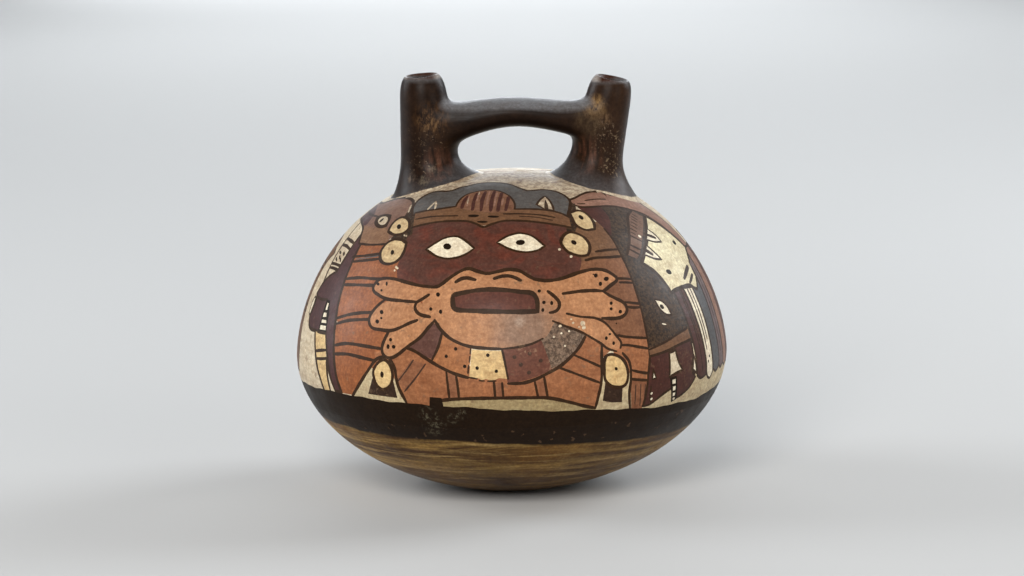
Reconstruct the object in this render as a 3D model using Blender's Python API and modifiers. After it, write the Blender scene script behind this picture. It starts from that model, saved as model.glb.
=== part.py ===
"""Painted pottery bottle with two spouts joined by a bridge, fired as one hollow piece.

It stands on a small flat spot under its round bottom. The origin is the middle of that spot, +Z is
up, X runs from spout to spout, and the painted front faces -Y. All sizes are in metres.
"""

import math
from collections import namedtuple

import bmesh
import bpy
from mathutils import Matrix, Vector

# The body, turned: a round bottom and a domed shoulder that meet at the widest circle
BODY_DIAMETER = 0.170
SHOULDER_RISE = 0.0713
BOTTOM_DEPTH = 0.0544
FLAT_SPOT_DIAMETER = 0.036
WALL = 0.0045

# How full the two halves are, across and upward: 2 and 2 would be a plain ellipse
SHOULDER_FULLNESS = (2.60, 1.72)
BOTTOM_FULLNESS = (1.96, 1.90)

# The left spout stands nearly upright and the right one leans out; rims are given over the crown
LEFT_FOOT_X = -0.0302
LEFT_RIM_X = -0.0332
LEFT_RIM_RISE = 0.0391
LEFT_STEM_DIAMETER = 0.0230
LEFT_NECK_DIAMETER = 0.0185
LEFT_FLARE = 0.0062
LEFT_FLARE_X = -0.0281

RIGHT_FOOT_X = 0.0330
RIGHT_RIM_X = 0.0418
RIGHT_RIM_RISE = 0.0365
RIGHT_STEM_DIAMETER = 0.0208
RIGHT_NECK_DIAMETER = 0.0177
RIGHT_FLARE = 0.0076
RIGHT_FLARE_X = 0.0340

# Each spout swells into the shoulder at its foot, and its lip is rounded over a narrow mouth
FOOT_HEIGHT = 0.0055
LIP_DIAMETER = 0.0130
LIP_HEIGHT = 0.0075
MOUTH_BORE = 0.0087
FOOT_BORE = 0.0130

# The bridge is a thick strap, higher in the middle than at the spouts, and thicker where it joins
# them; the gap under each end is given over the crown
LEFT_BRIDGE_GAP = 0.0161
RIGHT_BRIDGE_GAP = 0.0151
BRIDGE_THICKNESS = 0.0107
BRIDGE_WIDTH = 0.0230
BRIDGE_ARCH = 0.0041
LEFT_HAUNCH = 0.0052
RIGHT_HAUNCH = 0.0030
BRIDGE_ROOT = 0.0060

# The cage's rings at a foot, as shares of its flare outward and its height upward; those at a lip,
# as shares of its height upward and of the way in from neck to lip; the strap's section, as shares
# of its width and thickness
FOOT_CAGE = ((2.4, -0.5), (0.8, 0.0))
LIP_CAGE = ((-1.0, 0.0), (-0.4, 0.25), (0.1, 1.0))
MOUTH_CAGE_RISE = -0.1
STRAP_CAGE = {"inner reach": 0.21, "outer reach": 0.51, "inner rise": 0.515, "outer rise": 0.33}

# Fineness of the faceted solid, and how far a cutter runs past what it cuts
BODY_SIDES = 64
CAVITY_SIDES = 48
SHOULDER_RINGS = 12
BOTTOM_RINGS = 8
CAVITY_RINGS = 7
CAGE_SIDES = 8
CAGE_LEVELS = 2
BRIDGE_LEVEL = 3
BORE_SIDES = 24
CUT_MARGIN = 0.004
MERGE = 0.00001

BODY_RADIUS = BODY_DIAMETER / 2
CAGE_SWELL = 6 / (4 + 2 * math.cos(2 * math.pi / CAGE_SIDES))

Spout = namedtuple("Spout", "foot rim stem neck flare flare_x bridge_height haunch inward")


def height_share(radius, fullness):
    """Height of a half at a radius, as a share of its rise at the pole."""
    across, upward = fullness
    return (1 - (radius / BODY_RADIUS) ** across) ** (1 / upward)


WIDEST_HEIGHT = BOTTOM_DEPTH * height_share(FLAT_SPOT_DIAMETER / 2, BOTTOM_FULLNESS)
CROWN_HEIGHT = WIDEST_HEIGHT + SHOULDER_RISE


def shoulder_height(x, y):
    """Height of the shoulder's outer skin over a point of the floor."""
    return WIDEST_HEIGHT + SHOULDER_RISE * height_share(math.hypot(x, y), SHOULDER_FULLNESS)


def collection(name):
    made = bpy.data.collections.new(name)
    bpy.context.scene.collection.children.link(made)
    return made


def material(name, colour, roughness):
    made = bpy.data.materials.new(name)
    made.use_nodes = True
    shader = made.node_tree.nodes["Principled BSDF"]
    shader.inputs["Base Color"].default_value = (*colour, 1)
    shader.inputs["Roughness"].default_value = roughness
    shader.inputs["Metallic"].default_value = 0
    return made


def place(name, mesh, folder, finish):
    made = bpy.data.objects.new(name, mesh)
    folder.objects.link(made)
    mesh.materials.append(finish)
    return made


def hide_tool(tool):
    tool.hide_render = True
    tool.display_type = "WIRE"


def half_profile(rise, fullness, steps=240):
    """Fine points (radius, height) of one half of the body, from its pole to the widest circle."""
    across, upward = fullness
    points = []
    for step in range(steps + 1):
        turn = math.pi / 2 * step / steps
        radius = BODY_RADIUS * math.sin(turn) ** (2 / across)
        points.append(Vector((radius, rise * max(math.cos(turn), 0) ** (2 / upward))))
    return points


def set_in(points, depth):
    """The half profile moved into the body by a depth, square to its own direction."""
    moved = []
    for index, point in enumerate(points):
        before = points[max(index - 1, 0)]
        after = points[min(index + 1, len(points) - 1)]
        along = (after - before).normalized()
        moved.append(point + depth * Vector((along.y, -along.x)))
    moved[0].x = 0
    moved[-1].y = 0
    return moved


def down_to(points, floor):
    """The part of a falling curve that lies over the floor, ended on it."""
    kept = [point for point in points if point.y > floor]
    above = kept[-1]
    below = points[len(kept)]
    share = (above.y - floor) / (above.y - below.y)
    return kept + [above.lerp(below, share)]


def spaced(points, spaces):
    """Points at even steps along a fine curve, with both of its ends."""
    walked = [0.0]
    for before, after in zip(points, points[1:]):
        walked.append(walked[-1] + (after - before).length)
    chosen = []
    at = 0
    for space in range(spaces + 1):
        target = walked[-1] * space / spaces
        while at < len(points) - 2 and walked[at + 1] < target:
            at += 1
        share = (target - walked[at]) / (walked[at + 1] - walked[at])
        chosen.append(points[at].lerp(points[at + 1], share))
    return chosen


def body_profile(depth, floor, shoulder_rings, bottom_rings):
    """The body's outline at a depth under its skin, from the crown down to a flat floor."""
    shoulder = set_in(half_profile(SHOULDER_RISE, SHOULDER_FULLNESS), depth)
    bottom = set_in(half_profile(BOTTOM_DEPTH, BOTTOM_FULLNESS), depth)
    rising = [Vector((point.x, WIDEST_HEIGHT + point.y)) for point in shoulder]
    falling = [Vector((point.x, WIDEST_HEIGHT - point.y)) for point in reversed(bottom)]
    outline = spaced(rising, shoulder_rings)
    outline += spaced(down_to(falling, floor), bottom_rings)[1:]
    return outline + [Vector((0, floor))]


def turned(name, outline, sides, folder, finish):
    """A closed solid turned about Z from its outline, which runs from top to bottom at +X."""
    mesh = bpy.data.meshes.new(name)
    points = [(point.x, 0, point.y) for point in outline]
    edges = [(index, index + 1) for index in range(len(points) - 1)]
    mesh.from_pydata(points, edges, [])
    made = place(name, mesh, folder, finish)
    screw = made.modifiers.new("Turn", "SCREW")
    screw.axis = "Z"
    screw.steps = sides
    screw.render_steps = sides
    screw.use_merge_vertices = True
    screw.merge_threshold = MERGE
    return made


def ring_angles():
    """Turns of a cage ring's corners about its spout, with a flat side towards each side of it."""
    return [2 * math.pi * (corner + 0.5) / CAGE_SIDES for corner in range(CAGE_SIDES)]


def shoulder_ring(spout, radius, lift):
    """A ring round the spout's foot that follows the shoulder, lifted over its skin."""
    ring = []
    for turn in ring_angles():
        x = spout.flare_x + radius * math.cos(turn)
        y = radius * math.sin(turn)
        ring.append(Vector((x, y, shoulder_height(x, y) + lift)))
    return ring


def stem_ring(spout, along, radius):
    """A ring square to the spout's axis, at a distance along it from the foot."""
    axis = (spout.rim - spout.foot).normalized()
    across = Vector((axis.z, 0, -axis.x))
    centre = spout.foot + axis * along
    ring = []
    for turn in ring_angles():
        side = Vector((0, radius * math.sin(turn), 0))
        ring.append(centre + across * radius * math.cos(turn) + side)
    return ring


def spout_rings(spout):
    """The cage of a spout, ring by ring, from under the shoulder's skin up to the mouth."""
    length = (spout.rim - spout.foot).length
    lean = length / (spout.rim.z - spout.foot.z)
    stem = spout.stem / 2
    neck = spout.neck / 2
    lip = LIP_DIAMETER / 2
    mouth = (LIP_DIAMETER + MOUTH_BORE) / 4
    half_strap = BRIDGE_THICKNESS / 2

    rings = []
    for outward, upward in FOOT_CAGE:
        radius = stem + outward * spout.flare
        rings.append(shoulder_ring(spout, radius * CAGE_SWELL, upward * FOOT_HEIGHT))
    rings.append(stem_ring(spout, FOOT_HEIGHT, stem * CAGE_SWELL))
    for level in (spout.bridge_height - half_strap - spout.haunch, spout.bridge_height + half_strap):
        along = (level - spout.foot.z) * lean
        share = (along - FOOT_HEIGHT) / (length - LIP_HEIGHT - FOOT_HEIGHT)
        rings.append(stem_ring(spout, along, (stem + (neck - stem) * share) * CAGE_SWELL))
    for upward, inward in LIP_CAGE:
        radius = neck + (lip - neck) * inward
        rings.append(stem_ring(spout, length + upward * LIP_HEIGHT, radius * CAGE_SWELL))
    rings.append(stem_ring(spout, length + MOUTH_CAGE_RISE * LIP_HEIGHT, mouth * CAGE_SWELL))
    return rings


def raise_spout(cage, spout):
    """Extrude a spout's cage upward, and return its corners, ring by ring."""
    rings = spout_rings(spout)
    base = bmesh.ops.create_circle(cage, cap_ends=False, segments=CAGE_SIDES, radius=1)["verts"]
    base.sort(key=lambda corner: math.atan2(corner.co.y, corner.co.x) % (2 * math.pi))
    corners = base
    levels = []
    for index, ring in enumerate(rings):
        if index > 0:
            edges = [edge for edge in cage.edges
                     if edge.verts[0] in corners and edge.verts[1] in corners]
            made = bmesh.ops.extrude_edge_only(cage, edges=edges)["geom"]
            fresh = [item for item in made if isinstance(item, bmesh.types.BMVert)]
            corners = [min(fresh, key=lambda item: (item.co - below.co).length)
                       for below in corners]
        for corner, point in zip(corners, ring):
            corner.co = point
        levels.append(corners)
    cage.faces.new(list(reversed(levels[0])))
    cage.faces.new(levels[-1])
    return levels


def open_side(cage, spout, levels):
    """Take out the three faces of a spout's cage that look at the other spout, at the bridge."""
    corners = levels[BRIDGE_LEVEL] + levels[BRIDGE_LEVEL + 1]
    axis_x = sum(corner.co.x for corner in corners) / len(corners)
    looking = []
    for face in cage.faces:
        if all(corner in corners for corner in face.verts):
            centre = face.calc_center_median()
            turn = math.atan2(centre.y, (centre.x - axis_x) * spout.inward)
            if abs(turn) < 1.5 * 2 * math.pi / CAGE_SIDES:
                looking.append(face)
    bmesh.ops.delete(cage, geom=looking, context="FACES")


def shape_strap(ring, middle, haunch):
    """Give a ring across the bridge the strap's section: flat below and above, with soft arrises."""
    height = sum(corner.co.z for corner in ring) / len(ring)
    inner = sum(abs(corner.co.y) for corner in ring) / len(ring)
    for corner in ring:
        place_in = "outer" if abs(corner.co.y) > inner else "inner"
        rise = STRAP_CAGE[place_in + " rise"] * BRIDGE_THICKNESS
        if corner.co.z > height:
            corner.co.z = middle + rise
        else:
            corner.co.z = middle - rise - haunch
        corner.co.y = math.copysign(STRAP_CAGE[place_in + " reach"] * BRIDGE_WIDTH, corner.co.y)


def span_bridge(cage, left, right):
    """Join the two open sides with a strap, and bend it with three rings across it."""
    ends = [edge for edge in cage.edges if edge.is_boundary]
    strap = bmesh.ops.bridge_loops(cage, edges=ends)["faces"]
    start = max(corner.co.x for face in strap for corner in face.verts if corner.co.x < 0)
    end = min(corner.co.x for face in strap for corner in face.verts if corner.co.x > 0)
    root = BRIDGE_ROOT / (end - start)
    for share, haunch in ((root, left.haunch / 2), (0.5, 0), (1 - root, right.haunch / 2)):
        x = start + share * (end - start)
        pieces = {item for face in strap for item in (face, *face.edges, *face.verts)}
        cut = bmesh.ops.bisect_plane(
            cage, geom=list(pieces), dist=MERGE, plane_co=(x, 0, 0), plane_no=(1, 0, 0))
        ring = [item for item in cut["geom_cut"] if isinstance(item, bmesh.types.BMVert)]
        level = left.bridge_height + share * (right.bridge_height - left.bridge_height)
        shape_strap(ring, level + 4 * share * (1 - share) * BRIDGE_ARCH, haunch)
        strap = {face for corner in ring for face in corner.link_faces
                 if face.calc_center_median().x > x}


def spouts_and_bridge(left, right, folder, finish):
    """Both spouts and the bridge, as one soft form grown from a coarse cage."""
    cage = bmesh.new()
    left_levels = raise_spout(cage, left)
    right_levels = raise_spout(cage, right)
    open_side(cage, left, left_levels)
    open_side(cage, right, right_levels)
    span_bridge(cage, left, right)
    bmesh.ops.recalc_face_normals(cage, faces=cage.faces[:])
    mesh = bpy.data.meshes.new("spouts_and_bridge")
    cage.to_mesh(mesh)
    cage.free()
    made = place("spouts_and_bridge", mesh, folder, finish)
    soften = made.modifiers.new("Soften", "SUBSURF")
    soften.levels = CAGE_LEVELS
    soften.render_levels = CAGE_LEVELS
    return made


def bore_cutter(name, spout, folder, finish):
    """The spout's bore: a cone down its axis, from over the rim into the hollow body."""
    axis = (spout.rim - spout.foot).normalized()
    length = (spout.rim - spout.foot).length
    above = CUT_MARGIN
    below = 2 * WALL + CUT_MARGIN
    widening = (FOOT_BORE - MOUTH_BORE) / 2 / length
    mesh = bpy.data.meshes.new(name)
    cone = bmesh.new()
    quarter_side = Matrix.Rotation(math.pi / 2 / BORE_SIDES, 4, "Z")
    bmesh.ops.create_cone(
        cone, cap_ends=True, segments=BORE_SIDES, depth=length + above + below,
        radius1=FOOT_BORE / 2 + widening * below, radius2=MOUTH_BORE / 2 - widening * above,
        matrix=quarter_side)
    cone.to_mesh(mesh)
    cone.free()
    made = place(name, mesh, folder, finish)
    made.location = (spout.foot + spout.rim) / 2 + axis * (above - below) / 2
    made.rotation_euler = axis.to_track_quat("Z", "Y").to_euler()
    return made


def boolean(target, name, operation, tool):
    change = target.modifiers.new(name, "BOOLEAN")
    change.operation = operation
    change.solver = "EXACT"
    change.material_mode = "TRANSFER"
    change.object = tool
    hide_tool(tool)


def build():
    for old in list(bpy.data.objects):
        bpy.data.objects.remove(old, do_unlink=True)
    bottle = collection("painted_pottery_bottle")
    tools = collection("cutters")
    painted = material("painted slip", (0.42, 0.27, 0.16), 0.35)
    dark = material("dark slip", (0.035, 0.022, 0.016), 0.30)
    clay = material("bare clay", (0.24, 0.11, 0.06), 0.80)

    left = Spout(
        foot=Vector((LEFT_FOOT_X, 0, shoulder_height(LEFT_FOOT_X, 0))),
        rim=Vector((LEFT_RIM_X, 0, CROWN_HEIGHT + LEFT_RIM_RISE)),
        stem=LEFT_STEM_DIAMETER, neck=LEFT_NECK_DIAMETER, flare=LEFT_FLARE, flare_x=LEFT_FLARE_X,
        bridge_height=CROWN_HEIGHT + LEFT_BRIDGE_GAP + BRIDGE_THICKNESS / 2,
        haunch=LEFT_HAUNCH, inward=1)
    right = Spout(
        foot=Vector((RIGHT_FOOT_X, 0, shoulder_height(RIGHT_FOOT_X, 0))),
        rim=Vector((RIGHT_RIM_X, 0, CROWN_HEIGHT + RIGHT_RIM_RISE)),
        stem=RIGHT_STEM_DIAMETER, neck=RIGHT_NECK_DIAMETER, flare=RIGHT_FLARE, flare_x=RIGHT_FLARE_X,
        bridge_height=CROWN_HEIGHT + RIGHT_BRIDGE_GAP + BRIDGE_THICKNESS / 2,
        haunch=RIGHT_HAUNCH, inward=-1)

    skin = body_profile(0, 0, SHOULDER_RINGS, BOTTOM_RINGS)
    vessel = turned("vessel", skin, BODY_SIDES, bottle, painted)
    hollow = body_profile(WALL, WALL, CAVITY_RINGS, CAVITY_RINGS)
    boolean(vessel, "Join spouts", "UNION", spouts_and_bridge(left, right, tools, dark))
    boolean(vessel, "Hollow", "DIFFERENCE", turned("hollow", hollow, CAVITY_SIDES, tools, clay))
    boolean(vessel, "Bore left", "DIFFERENCE", bore_cutter("left_bore", left, tools, clay))
    boolean(vessel, "Bore right", "DIFFERENCE", bore_cutter("right_bore", right, tools, clay))


build()
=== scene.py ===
"""Painted pottery bottle with two spouts and a bridge: the looks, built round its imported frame.

Lengths of the pot are in millimetres while it is shaped and painted, and become metres in its mesh.
"""

import math

import bmesh
import bpy
import numpy as np
from mathutils import Matrix, Vector
from mathutils.geometry import delaunay_2d_cdt
from mathutils.kdtree import KDTree


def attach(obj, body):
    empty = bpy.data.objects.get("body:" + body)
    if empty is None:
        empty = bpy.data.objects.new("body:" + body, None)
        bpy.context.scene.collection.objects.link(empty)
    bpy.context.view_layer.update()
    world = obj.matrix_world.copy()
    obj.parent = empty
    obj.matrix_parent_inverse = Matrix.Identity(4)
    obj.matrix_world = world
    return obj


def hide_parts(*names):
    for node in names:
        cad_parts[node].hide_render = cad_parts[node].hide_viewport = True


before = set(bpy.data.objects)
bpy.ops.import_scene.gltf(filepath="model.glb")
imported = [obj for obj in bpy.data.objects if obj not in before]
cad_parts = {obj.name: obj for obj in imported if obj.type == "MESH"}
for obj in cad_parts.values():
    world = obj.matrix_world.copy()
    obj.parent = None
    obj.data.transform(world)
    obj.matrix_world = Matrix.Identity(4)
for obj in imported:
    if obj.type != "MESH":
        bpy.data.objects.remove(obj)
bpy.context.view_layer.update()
bpy.ops.object.select_all(action="DESELECT")

# The body: a hollow earthenware ball, coiled up and scraped thin, with a round bottom, a full domed
# shoulder and a small flat spot to stand on. Its wall is one outline turned about the middle.
MM = 0.001
BODY_RADIUS = 85.0
SHOULDER_RISE = 71.3
BOTTOM_DEPTH = 54.4
SHOULDER_FULLNESS = (2.60, 1.72)
BOTTOM_FULLNESS = (1.96, 1.90)
FLAT_SPOT_RADIUS = 18.0
WALL = 4.5

across, upward = BOTTOM_FULLNESS
WIDEST_HEIGHT = BOTTOM_DEPTH * (1 - (FLAT_SPOT_RADIUS / BODY_RADIUS) ** across) ** (1 / upward)


def half_outline(rise, fullness, depth):
    """Radius and height of one half of the body, from its widest circle to its pole."""
    turn = np.linspace(0, math.pi / 2, 721)
    radius = BODY_RADIUS * np.clip(np.cos(turn), 0, 1) ** (2 / fullness[0])
    height = rise * np.sin(turn) ** (2 / fullness[1])
    along = np.stack([np.gradient(radius), np.gradient(height)], 1)
    along /= np.linalg.norm(along, axis=1, keepdims=True)
    radius = radius - depth * along[:, 1]
    height = height + depth * along[:, 0]
    radius[-1] = 0
    height[0] = 0
    return radius, height


def skin_outline(depth):
    """The wall at a depth under its skin: how far up it one is, the radius and the height there."""
    bottom_radius, fall = half_outline(BOTTOM_DEPTH, BOTTOM_FULLNESS, depth)
    top_radius, rise = half_outline(SHOULDER_RISE, SHOULDER_FULLNESS, depth)
    radius = np.concatenate([bottom_radius[:0:-1], top_radius])
    height = WIDEST_HEIGHT + np.concatenate([-fall[:0:-1], rise])
    walked = np.concatenate([[0], np.cumsum(np.hypot(np.diff(radius), np.diff(height)))])
    return walked - walked[len(bottom_radius) - 1], radius, height


OUTER = skin_outline(0)
INNER = skin_outline(WALL)
CROWN = OUTER[0][-1]


def on_skin(skin, azimuth, up):
    """Points of a skin, by the turn from the front to the right and the way up from the widest."""
    radius = np.interp(up, skin[0], skin[1])
    height = np.interp(up, skin[0], skin[2])
    return np.stack([radius * np.sin(azimuth), -radius * np.cos(azimuth), height], 1)


def height_on(skin, x, y):
    """Height of the shoulder of a skin over a point of the floor."""
    shoulder = skin[0] >= 0
    return float(np.interp(-math.hypot(x, y), -skin[1][shoulder], skin[2][shoulder]))


# The painting: mineral slips laid on the leather-hard clay, each area filled flat, then lined with
# a fine brush, and burnished with a pebble before firing. It is drawn on four unrolled sheets, in
# millimetres right of each sheet's middle and up the wall from the widest circle.

# a slip's colour, roughness, specks, streaks and wear, and its gloss where it isn't the usual one
COATS = {
    "cream": ((0.66, 0.57, 0.41), 0.46, 0.55, 1.0, 0.3),
    "bright cream": ((0.74, 0.68, 0.445), 0.46, 0.45, 0.8, 0.2),
    "cream white": ((0.78, 0.71, 0.54), 0.46, 0.35, 0.4, 0.2),
    "yellow cream": ((0.64, 0.46, 0.22), 0.46, 0.5, 0.8, 0.3),
    "disc cream": ((0.57, 0.435, 0.240), 0.46, 0.5, 0.8, 0.3),
    "light orange": ((0.425, 0.207, 0.098), 0.46, 0.6, 0.5, 0.5),
    "orange": ((0.29, 0.100, 0.034), 0.46, 0.5, 0.9, 0.5),
    "red orange": ((0.31, 0.127, 0.055), 0.46, 0.5, 0.8, 0.5),
    "orange brown": ((0.200, 0.089, 0.043), 0.46, 0.5, 0.8, 0.6),
    "tan": ((0.160, 0.080, 0.038), 0.46, 0.5, 0.7, 0.4),
    "head brown": ((0.195, 0.108, 0.074), 0.46, 0.5, 0.6, 0.4),
    "headband": ((0.152, 0.075, 0.036), 0.46, 0.5, 0.6, 0.6),
    "rose tan": ((0.270, 0.145, 0.100), 0.46, 0.5, 0.6, 0.4),
    "fan brown": ((0.190, 0.092, 0.052), 0.46, 0.5, 0.8, 0.6),
    "umber": ((0.148, 0.080, 0.050), 0.46, 0.4, 0.7, 0.4),
    "umber light": ((0.24, 0.100, 0.048), 0.46, 0.4, 0.9, 0.4),
    "umber warm": ((0.225, 0.122, 0.066), 0.46, 0.5, 0.7, 0.6),
    "umber dark": ((0.055, 0.027, 0.015), 0.46, 0.2, 0.4, 0.4),
    "dark red": ((0.090, 0.036, 0.0245), 0.44, 0.3, 0.6, 0.25),
    "collar red": ((0.138, 0.051, 0.031), 0.44, 0.4, 0.5, 0.5),
    "mouth red": ((0.102, 0.031, 0.018), 0.44, 0.3, 0.5, 0.4),
    "plum": ((0.062, 0.0215, 0.0195), 0.44, 0.3, 0.7, 0.1),
    "mauve": ((0.150, 0.108, 0.106), 0.46, 0.4, 0.8, 0.3),
    "purple": ((0.063, 0.0200, 0.0128), 0.44, 0.3, 0.5, 0.1),
    "collar orange": ((0.345, 0.143, 0.056), 0.46, 0.5, 0.8, 0.5),
    "collar purple": ((0.112, 0.050, 0.037), 0.44, 0.4, 0.5, 0.5),
    "charcoal": ((0.044, 0.0245, 0.0118), 0.44, 0.3, 0.5, 0.3),
    # the crest's slip is the charcoal made lighter and cooler, partly a painted sheen on the upward
    # shoulder
    "crest grey": ((0.094, 0.087, 0.081), 0.44, 0.3, 0.5, 0.2),
    "collar grey": ((0.155, 0.108, 0.078), 0.44, 0.6, 0.5, 0.6),
    "grey blue": ((0.085, 0.085, 0.088), 0.46, 0.4, 0.5, 0.3),
    "buff": ((0.345, 0.272, 0.140), 0.46, 0.5, 0.8, 0.4),
    "sand": ((0.52, 0.43, 0.265), 0.46, 0.5, 0.9, 0.4),
    "line brown": ((0.036, 0.0165, 0.0060), 0.44, 0.0, 0.5, 0.2, 0.12),
    "soot brown": ((0.036, 0.018, 0.010), 0.44, 0.2, 0.5, 0.3, 0.14),
    "black": ((0.0150, 0.0075, 0.0030), 0.42, 0.0, 0.3, 0.0, 0.08),
}
SHEETS = {"front": 0.0, "right": math.radians(60), "left": math.radians(-60), "back": math.pi}
BRUSH_STEP = 1.0
# how far a brush line swells, as a share of its width, and how often along it
LONG_SWELL, SHORT_SWELL = (0.09, 0.45), (0.05, 1.3)
LINE_START_SHARE, LINE_START_LENGTH = 0.78, 1.5
ROUND_END_TURNS = (45, 90, 135)
painted = []


def flowing(points, closed):
    """Fine points of a soft line through given ones; one with a third value is a corner."""
    spots = [np.array(point[:2], float) for point in points]
    corners = [len(point) > 2 for point in points]
    count = len(spots)
    fine = []
    for index in range(count if closed else count - 1):
        here, there = spots[index], spots[(index + 1) % count]
        before = spots[index - 1] if closed or index > 0 else here
        after = spots[(index + 2) % count] if closed or index + 2 < count else there
        span = np.linalg.norm(there - here)
        leave = there - (here if corners[index] else before)
        arrive = (there if corners[(index + 1) % count] else after) - here
        leave = leave / (np.linalg.norm(leave) or 1) * span
        arrive = arrive / (np.linalg.norm(arrive) or 1) * span
        steps = max(1, round(span / BRUSH_STEP))
        for step in range(steps):
            t = step / steps
            fine.append((2 * t**3 - 3 * t**2 + 1) * here + (t**3 - 2 * t**2 + t) * leave
                        + (3 * t**2 - 2 * t**3) * there + (t**3 - t**2) * arrive)
    if not closed:
        fine.append(spots[-1])
    return np.array(fine)


def off_sheet(sheet, flat):
    """Azimuth and way up the wall of points of a sheet."""
    radius = np.interp(flat[:, 1], OUTER[0], OUTER[1])
    return SHEETS[sheet] + flat[:, 0] / radius, flat[:, 1]


def spread(azimuth, up):
    """The wall spread out flat round the crown, where the areas of paint are cut."""
    return np.stack([(CROWN - up) * np.sin(azimuth), (up - CROWN) * np.cos(azimuth)], 1)


def keep(slip, azimuth, up, cut=True):
    """Keep a patch of paint, and say whether its edge is cut into the skin."""
    painted.append((slip, spread(azimuth, up), cut))


def line(sheet, points, width, slip="line brown", closed=False):
    """A brush line with round ends, a little uneven in its pressure."""
    azimuth, up = off_sheet(sheet, flowing(points, closed))
    radius = np.interp(up, OUTER[0], OUTER[1])
    if closed:
        across = (np.roll(azimuth, -1) - np.roll(azimuth, 1)) * radius
        rise = np.roll(up, -1) - np.roll(up, 1)
    else:
        across = np.gradient(azimuth) * radius
        rise = np.gradient(up)
    length = np.hypot(across, rise)
    across, rise = across / length, rise / length
    walked = np.arange(len(up)) * BRUSH_STEP
    shift = len(painted) * 1.7
    half = width / 2 * (1 + LONG_SWELL[0] * np.sin(walked * LONG_SWELL[1] + shift)
                        + SHORT_SWELL[0] * np.sin(walked * SHORT_SWELL[1] + shift))
    if not closed:
        from_end = np.minimum(walked, walked[::-1]) / (LINE_START_LENGTH * width)
        half = half * (LINE_START_SHARE + (1 - LINE_START_SHARE) * np.clip(from_end, 0, 1))
    left = (azimuth - rise * half / radius, up + across * half)
    right = (azimuth + rise * half / radius, up - across * half)
    if closed:
        loop = [np.concatenate([left[k], left[k][:1], right[k][:1], right[k][::-1]])
                for k in (0, 1)]
        keep(slip, *loop)
        return
    loop = [[], []]
    for side, end, way in ((left, -1, 1), (right, 0, -1)):
        order = slice(None) if way == 1 else slice(None, None, -1)
        for k in (0, 1):
            loop[k].extend(side[k][order])
        for turn in ROUND_END_TURNS:
            c, s = math.cos(math.radians(turn)) * way, math.sin(math.radians(turn)) * way
            reach = half[end]
            loop[0].append(azimuth[end] + (-rise[end] * c + across[end] * s) * reach / radius[end])
            loop[1].append(up[end] + (across[end] * c + rise[end] * s) * reach)
    keep(slip, np.array(loop[0]), np.array(loop[1]))


def area(slip, sheet, points, edge=0, straight=False):
    """An area filled with a slip, and lined all round where edge gives a width."""
    if straight:
        points = [(*point[:2], 1) for point in points]
    keep(slip, *off_sheet(sheet, flowing(points, True)), cut=not edge)
    if edge:
        line(sheet, points, edge, closed=True)


def spot(sheet, middle, wide, high=None, tilt=0, slip="black"):
    """A round or oval touch of the brush."""
    high = high or wide
    turn = np.linspace(0, 2 * math.pi, 11)[:-1]
    out = np.stack([wide / 2 * np.cos(turn), high / 2 * np.sin(turn)], 1)
    c, s = math.cos(math.radians(tilt)), math.sin(math.radians(tilt))
    flat = np.array(middle) + out @ np.array([[c, s], [-s, c]])
    keep(slip, *off_sheet(sheet, flat))


def lines(sheet, width, *tracks, slip="line brown"):
    """Brush lines of one width."""
    for track in tracks:
        line(sheet, track, width, slip)


def spots(sheet, wide, *middles, slip="black"):
    """Round touches of one size."""
    for middle in middles:
        spot(sheet, middle, wide, slip=slip)


# The back and far sides: a mantle of feathers hangs from a tan cord all round the back, each one
# flat slip with a dark line at its side and a blunt point, under cream with small ringed discs.
FEATHERS = ("purple", "cream", "grey blue", "dark red", "tan", "cream", "charcoal", "orange")
MANTLE_START, MANTLE_END, FEATHER_COUNT = 92.0, 256.0, 27
FEATHER_TURN = math.radians(MANTLE_END - MANTLE_START) / FEATHER_COUNT
FEATHER_TOP, FEATHER_TIP, POINT_LENGTH, POINT_WIDTH = 45.0, -4.5, 2.5, 0.024
FEATHER_STEPS = 34
# a rib: how far across a feather, how far below its top it starts, and the heights it passes
TWO_RIBS, ONE_RIB = ((0.42, 2, 25, 10), (0.60, 2, 28, 14)), ((0.5, 3, 25, 6),)
RIBS = {"cream": TWO_RIBS, "tan": TWO_RIBS, "purple": ONE_RIB, "dark red": ONE_RIB}
DISC_EVERY, DISC_HEIGHT, DISC_WIDTH, DISC_RISE = 6, 66, 5.2, 4.6
CORD_TOP, CORD_MIDDLE, CORD_FOOT = 51.5, 48.4, 45.0


def back_sheet(turn, up):
    """Where a point of the wall lies on the back sheet, by its azimuth and the way up."""
    return ((turn - math.pi) * float(np.interp(up, OUTER[0], OUTER[1])), up)


def feather(slip, start, top, tip):
    """One feather that hangs from an azimuth on, with its lines and its blunt point."""
    end = start + FEATHER_TURN
    middle = (start + end) / 2
    shoulder = tip + POINT_LENGTH
    keep(slip, np.concatenate([np.full(FEATHER_STEPS, start),
                               [middle - POINT_WIDTH / 2, middle + POINT_WIDTH / 2],
                               np.full(FEATHER_STEPS, end)]),
         np.concatenate([np.linspace(top, shoulder, FEATHER_STEPS), [tip, tip],
                         np.linspace(shoulder, top, FEATHER_STEPS)]))

    def beside(share, up):
        return back_sheet(start + share * FEATHER_TURN, up)

    line("back", [beside(0, up) for up in (top, 30, 15, shoulder)], 1.0)
    line("back", [(*beside(0, shoulder), 1), (*beside(0.5, tip), 1), (*beside(1, shoulder), 1)], 1.0)
    for share, below, *passes in RIBS.get(slip, ()):
        line("back", [beside(share, up) for up in (top - below, *passes)], 0.6)
    return beside(0.5, DISC_HEIGHT)


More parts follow.
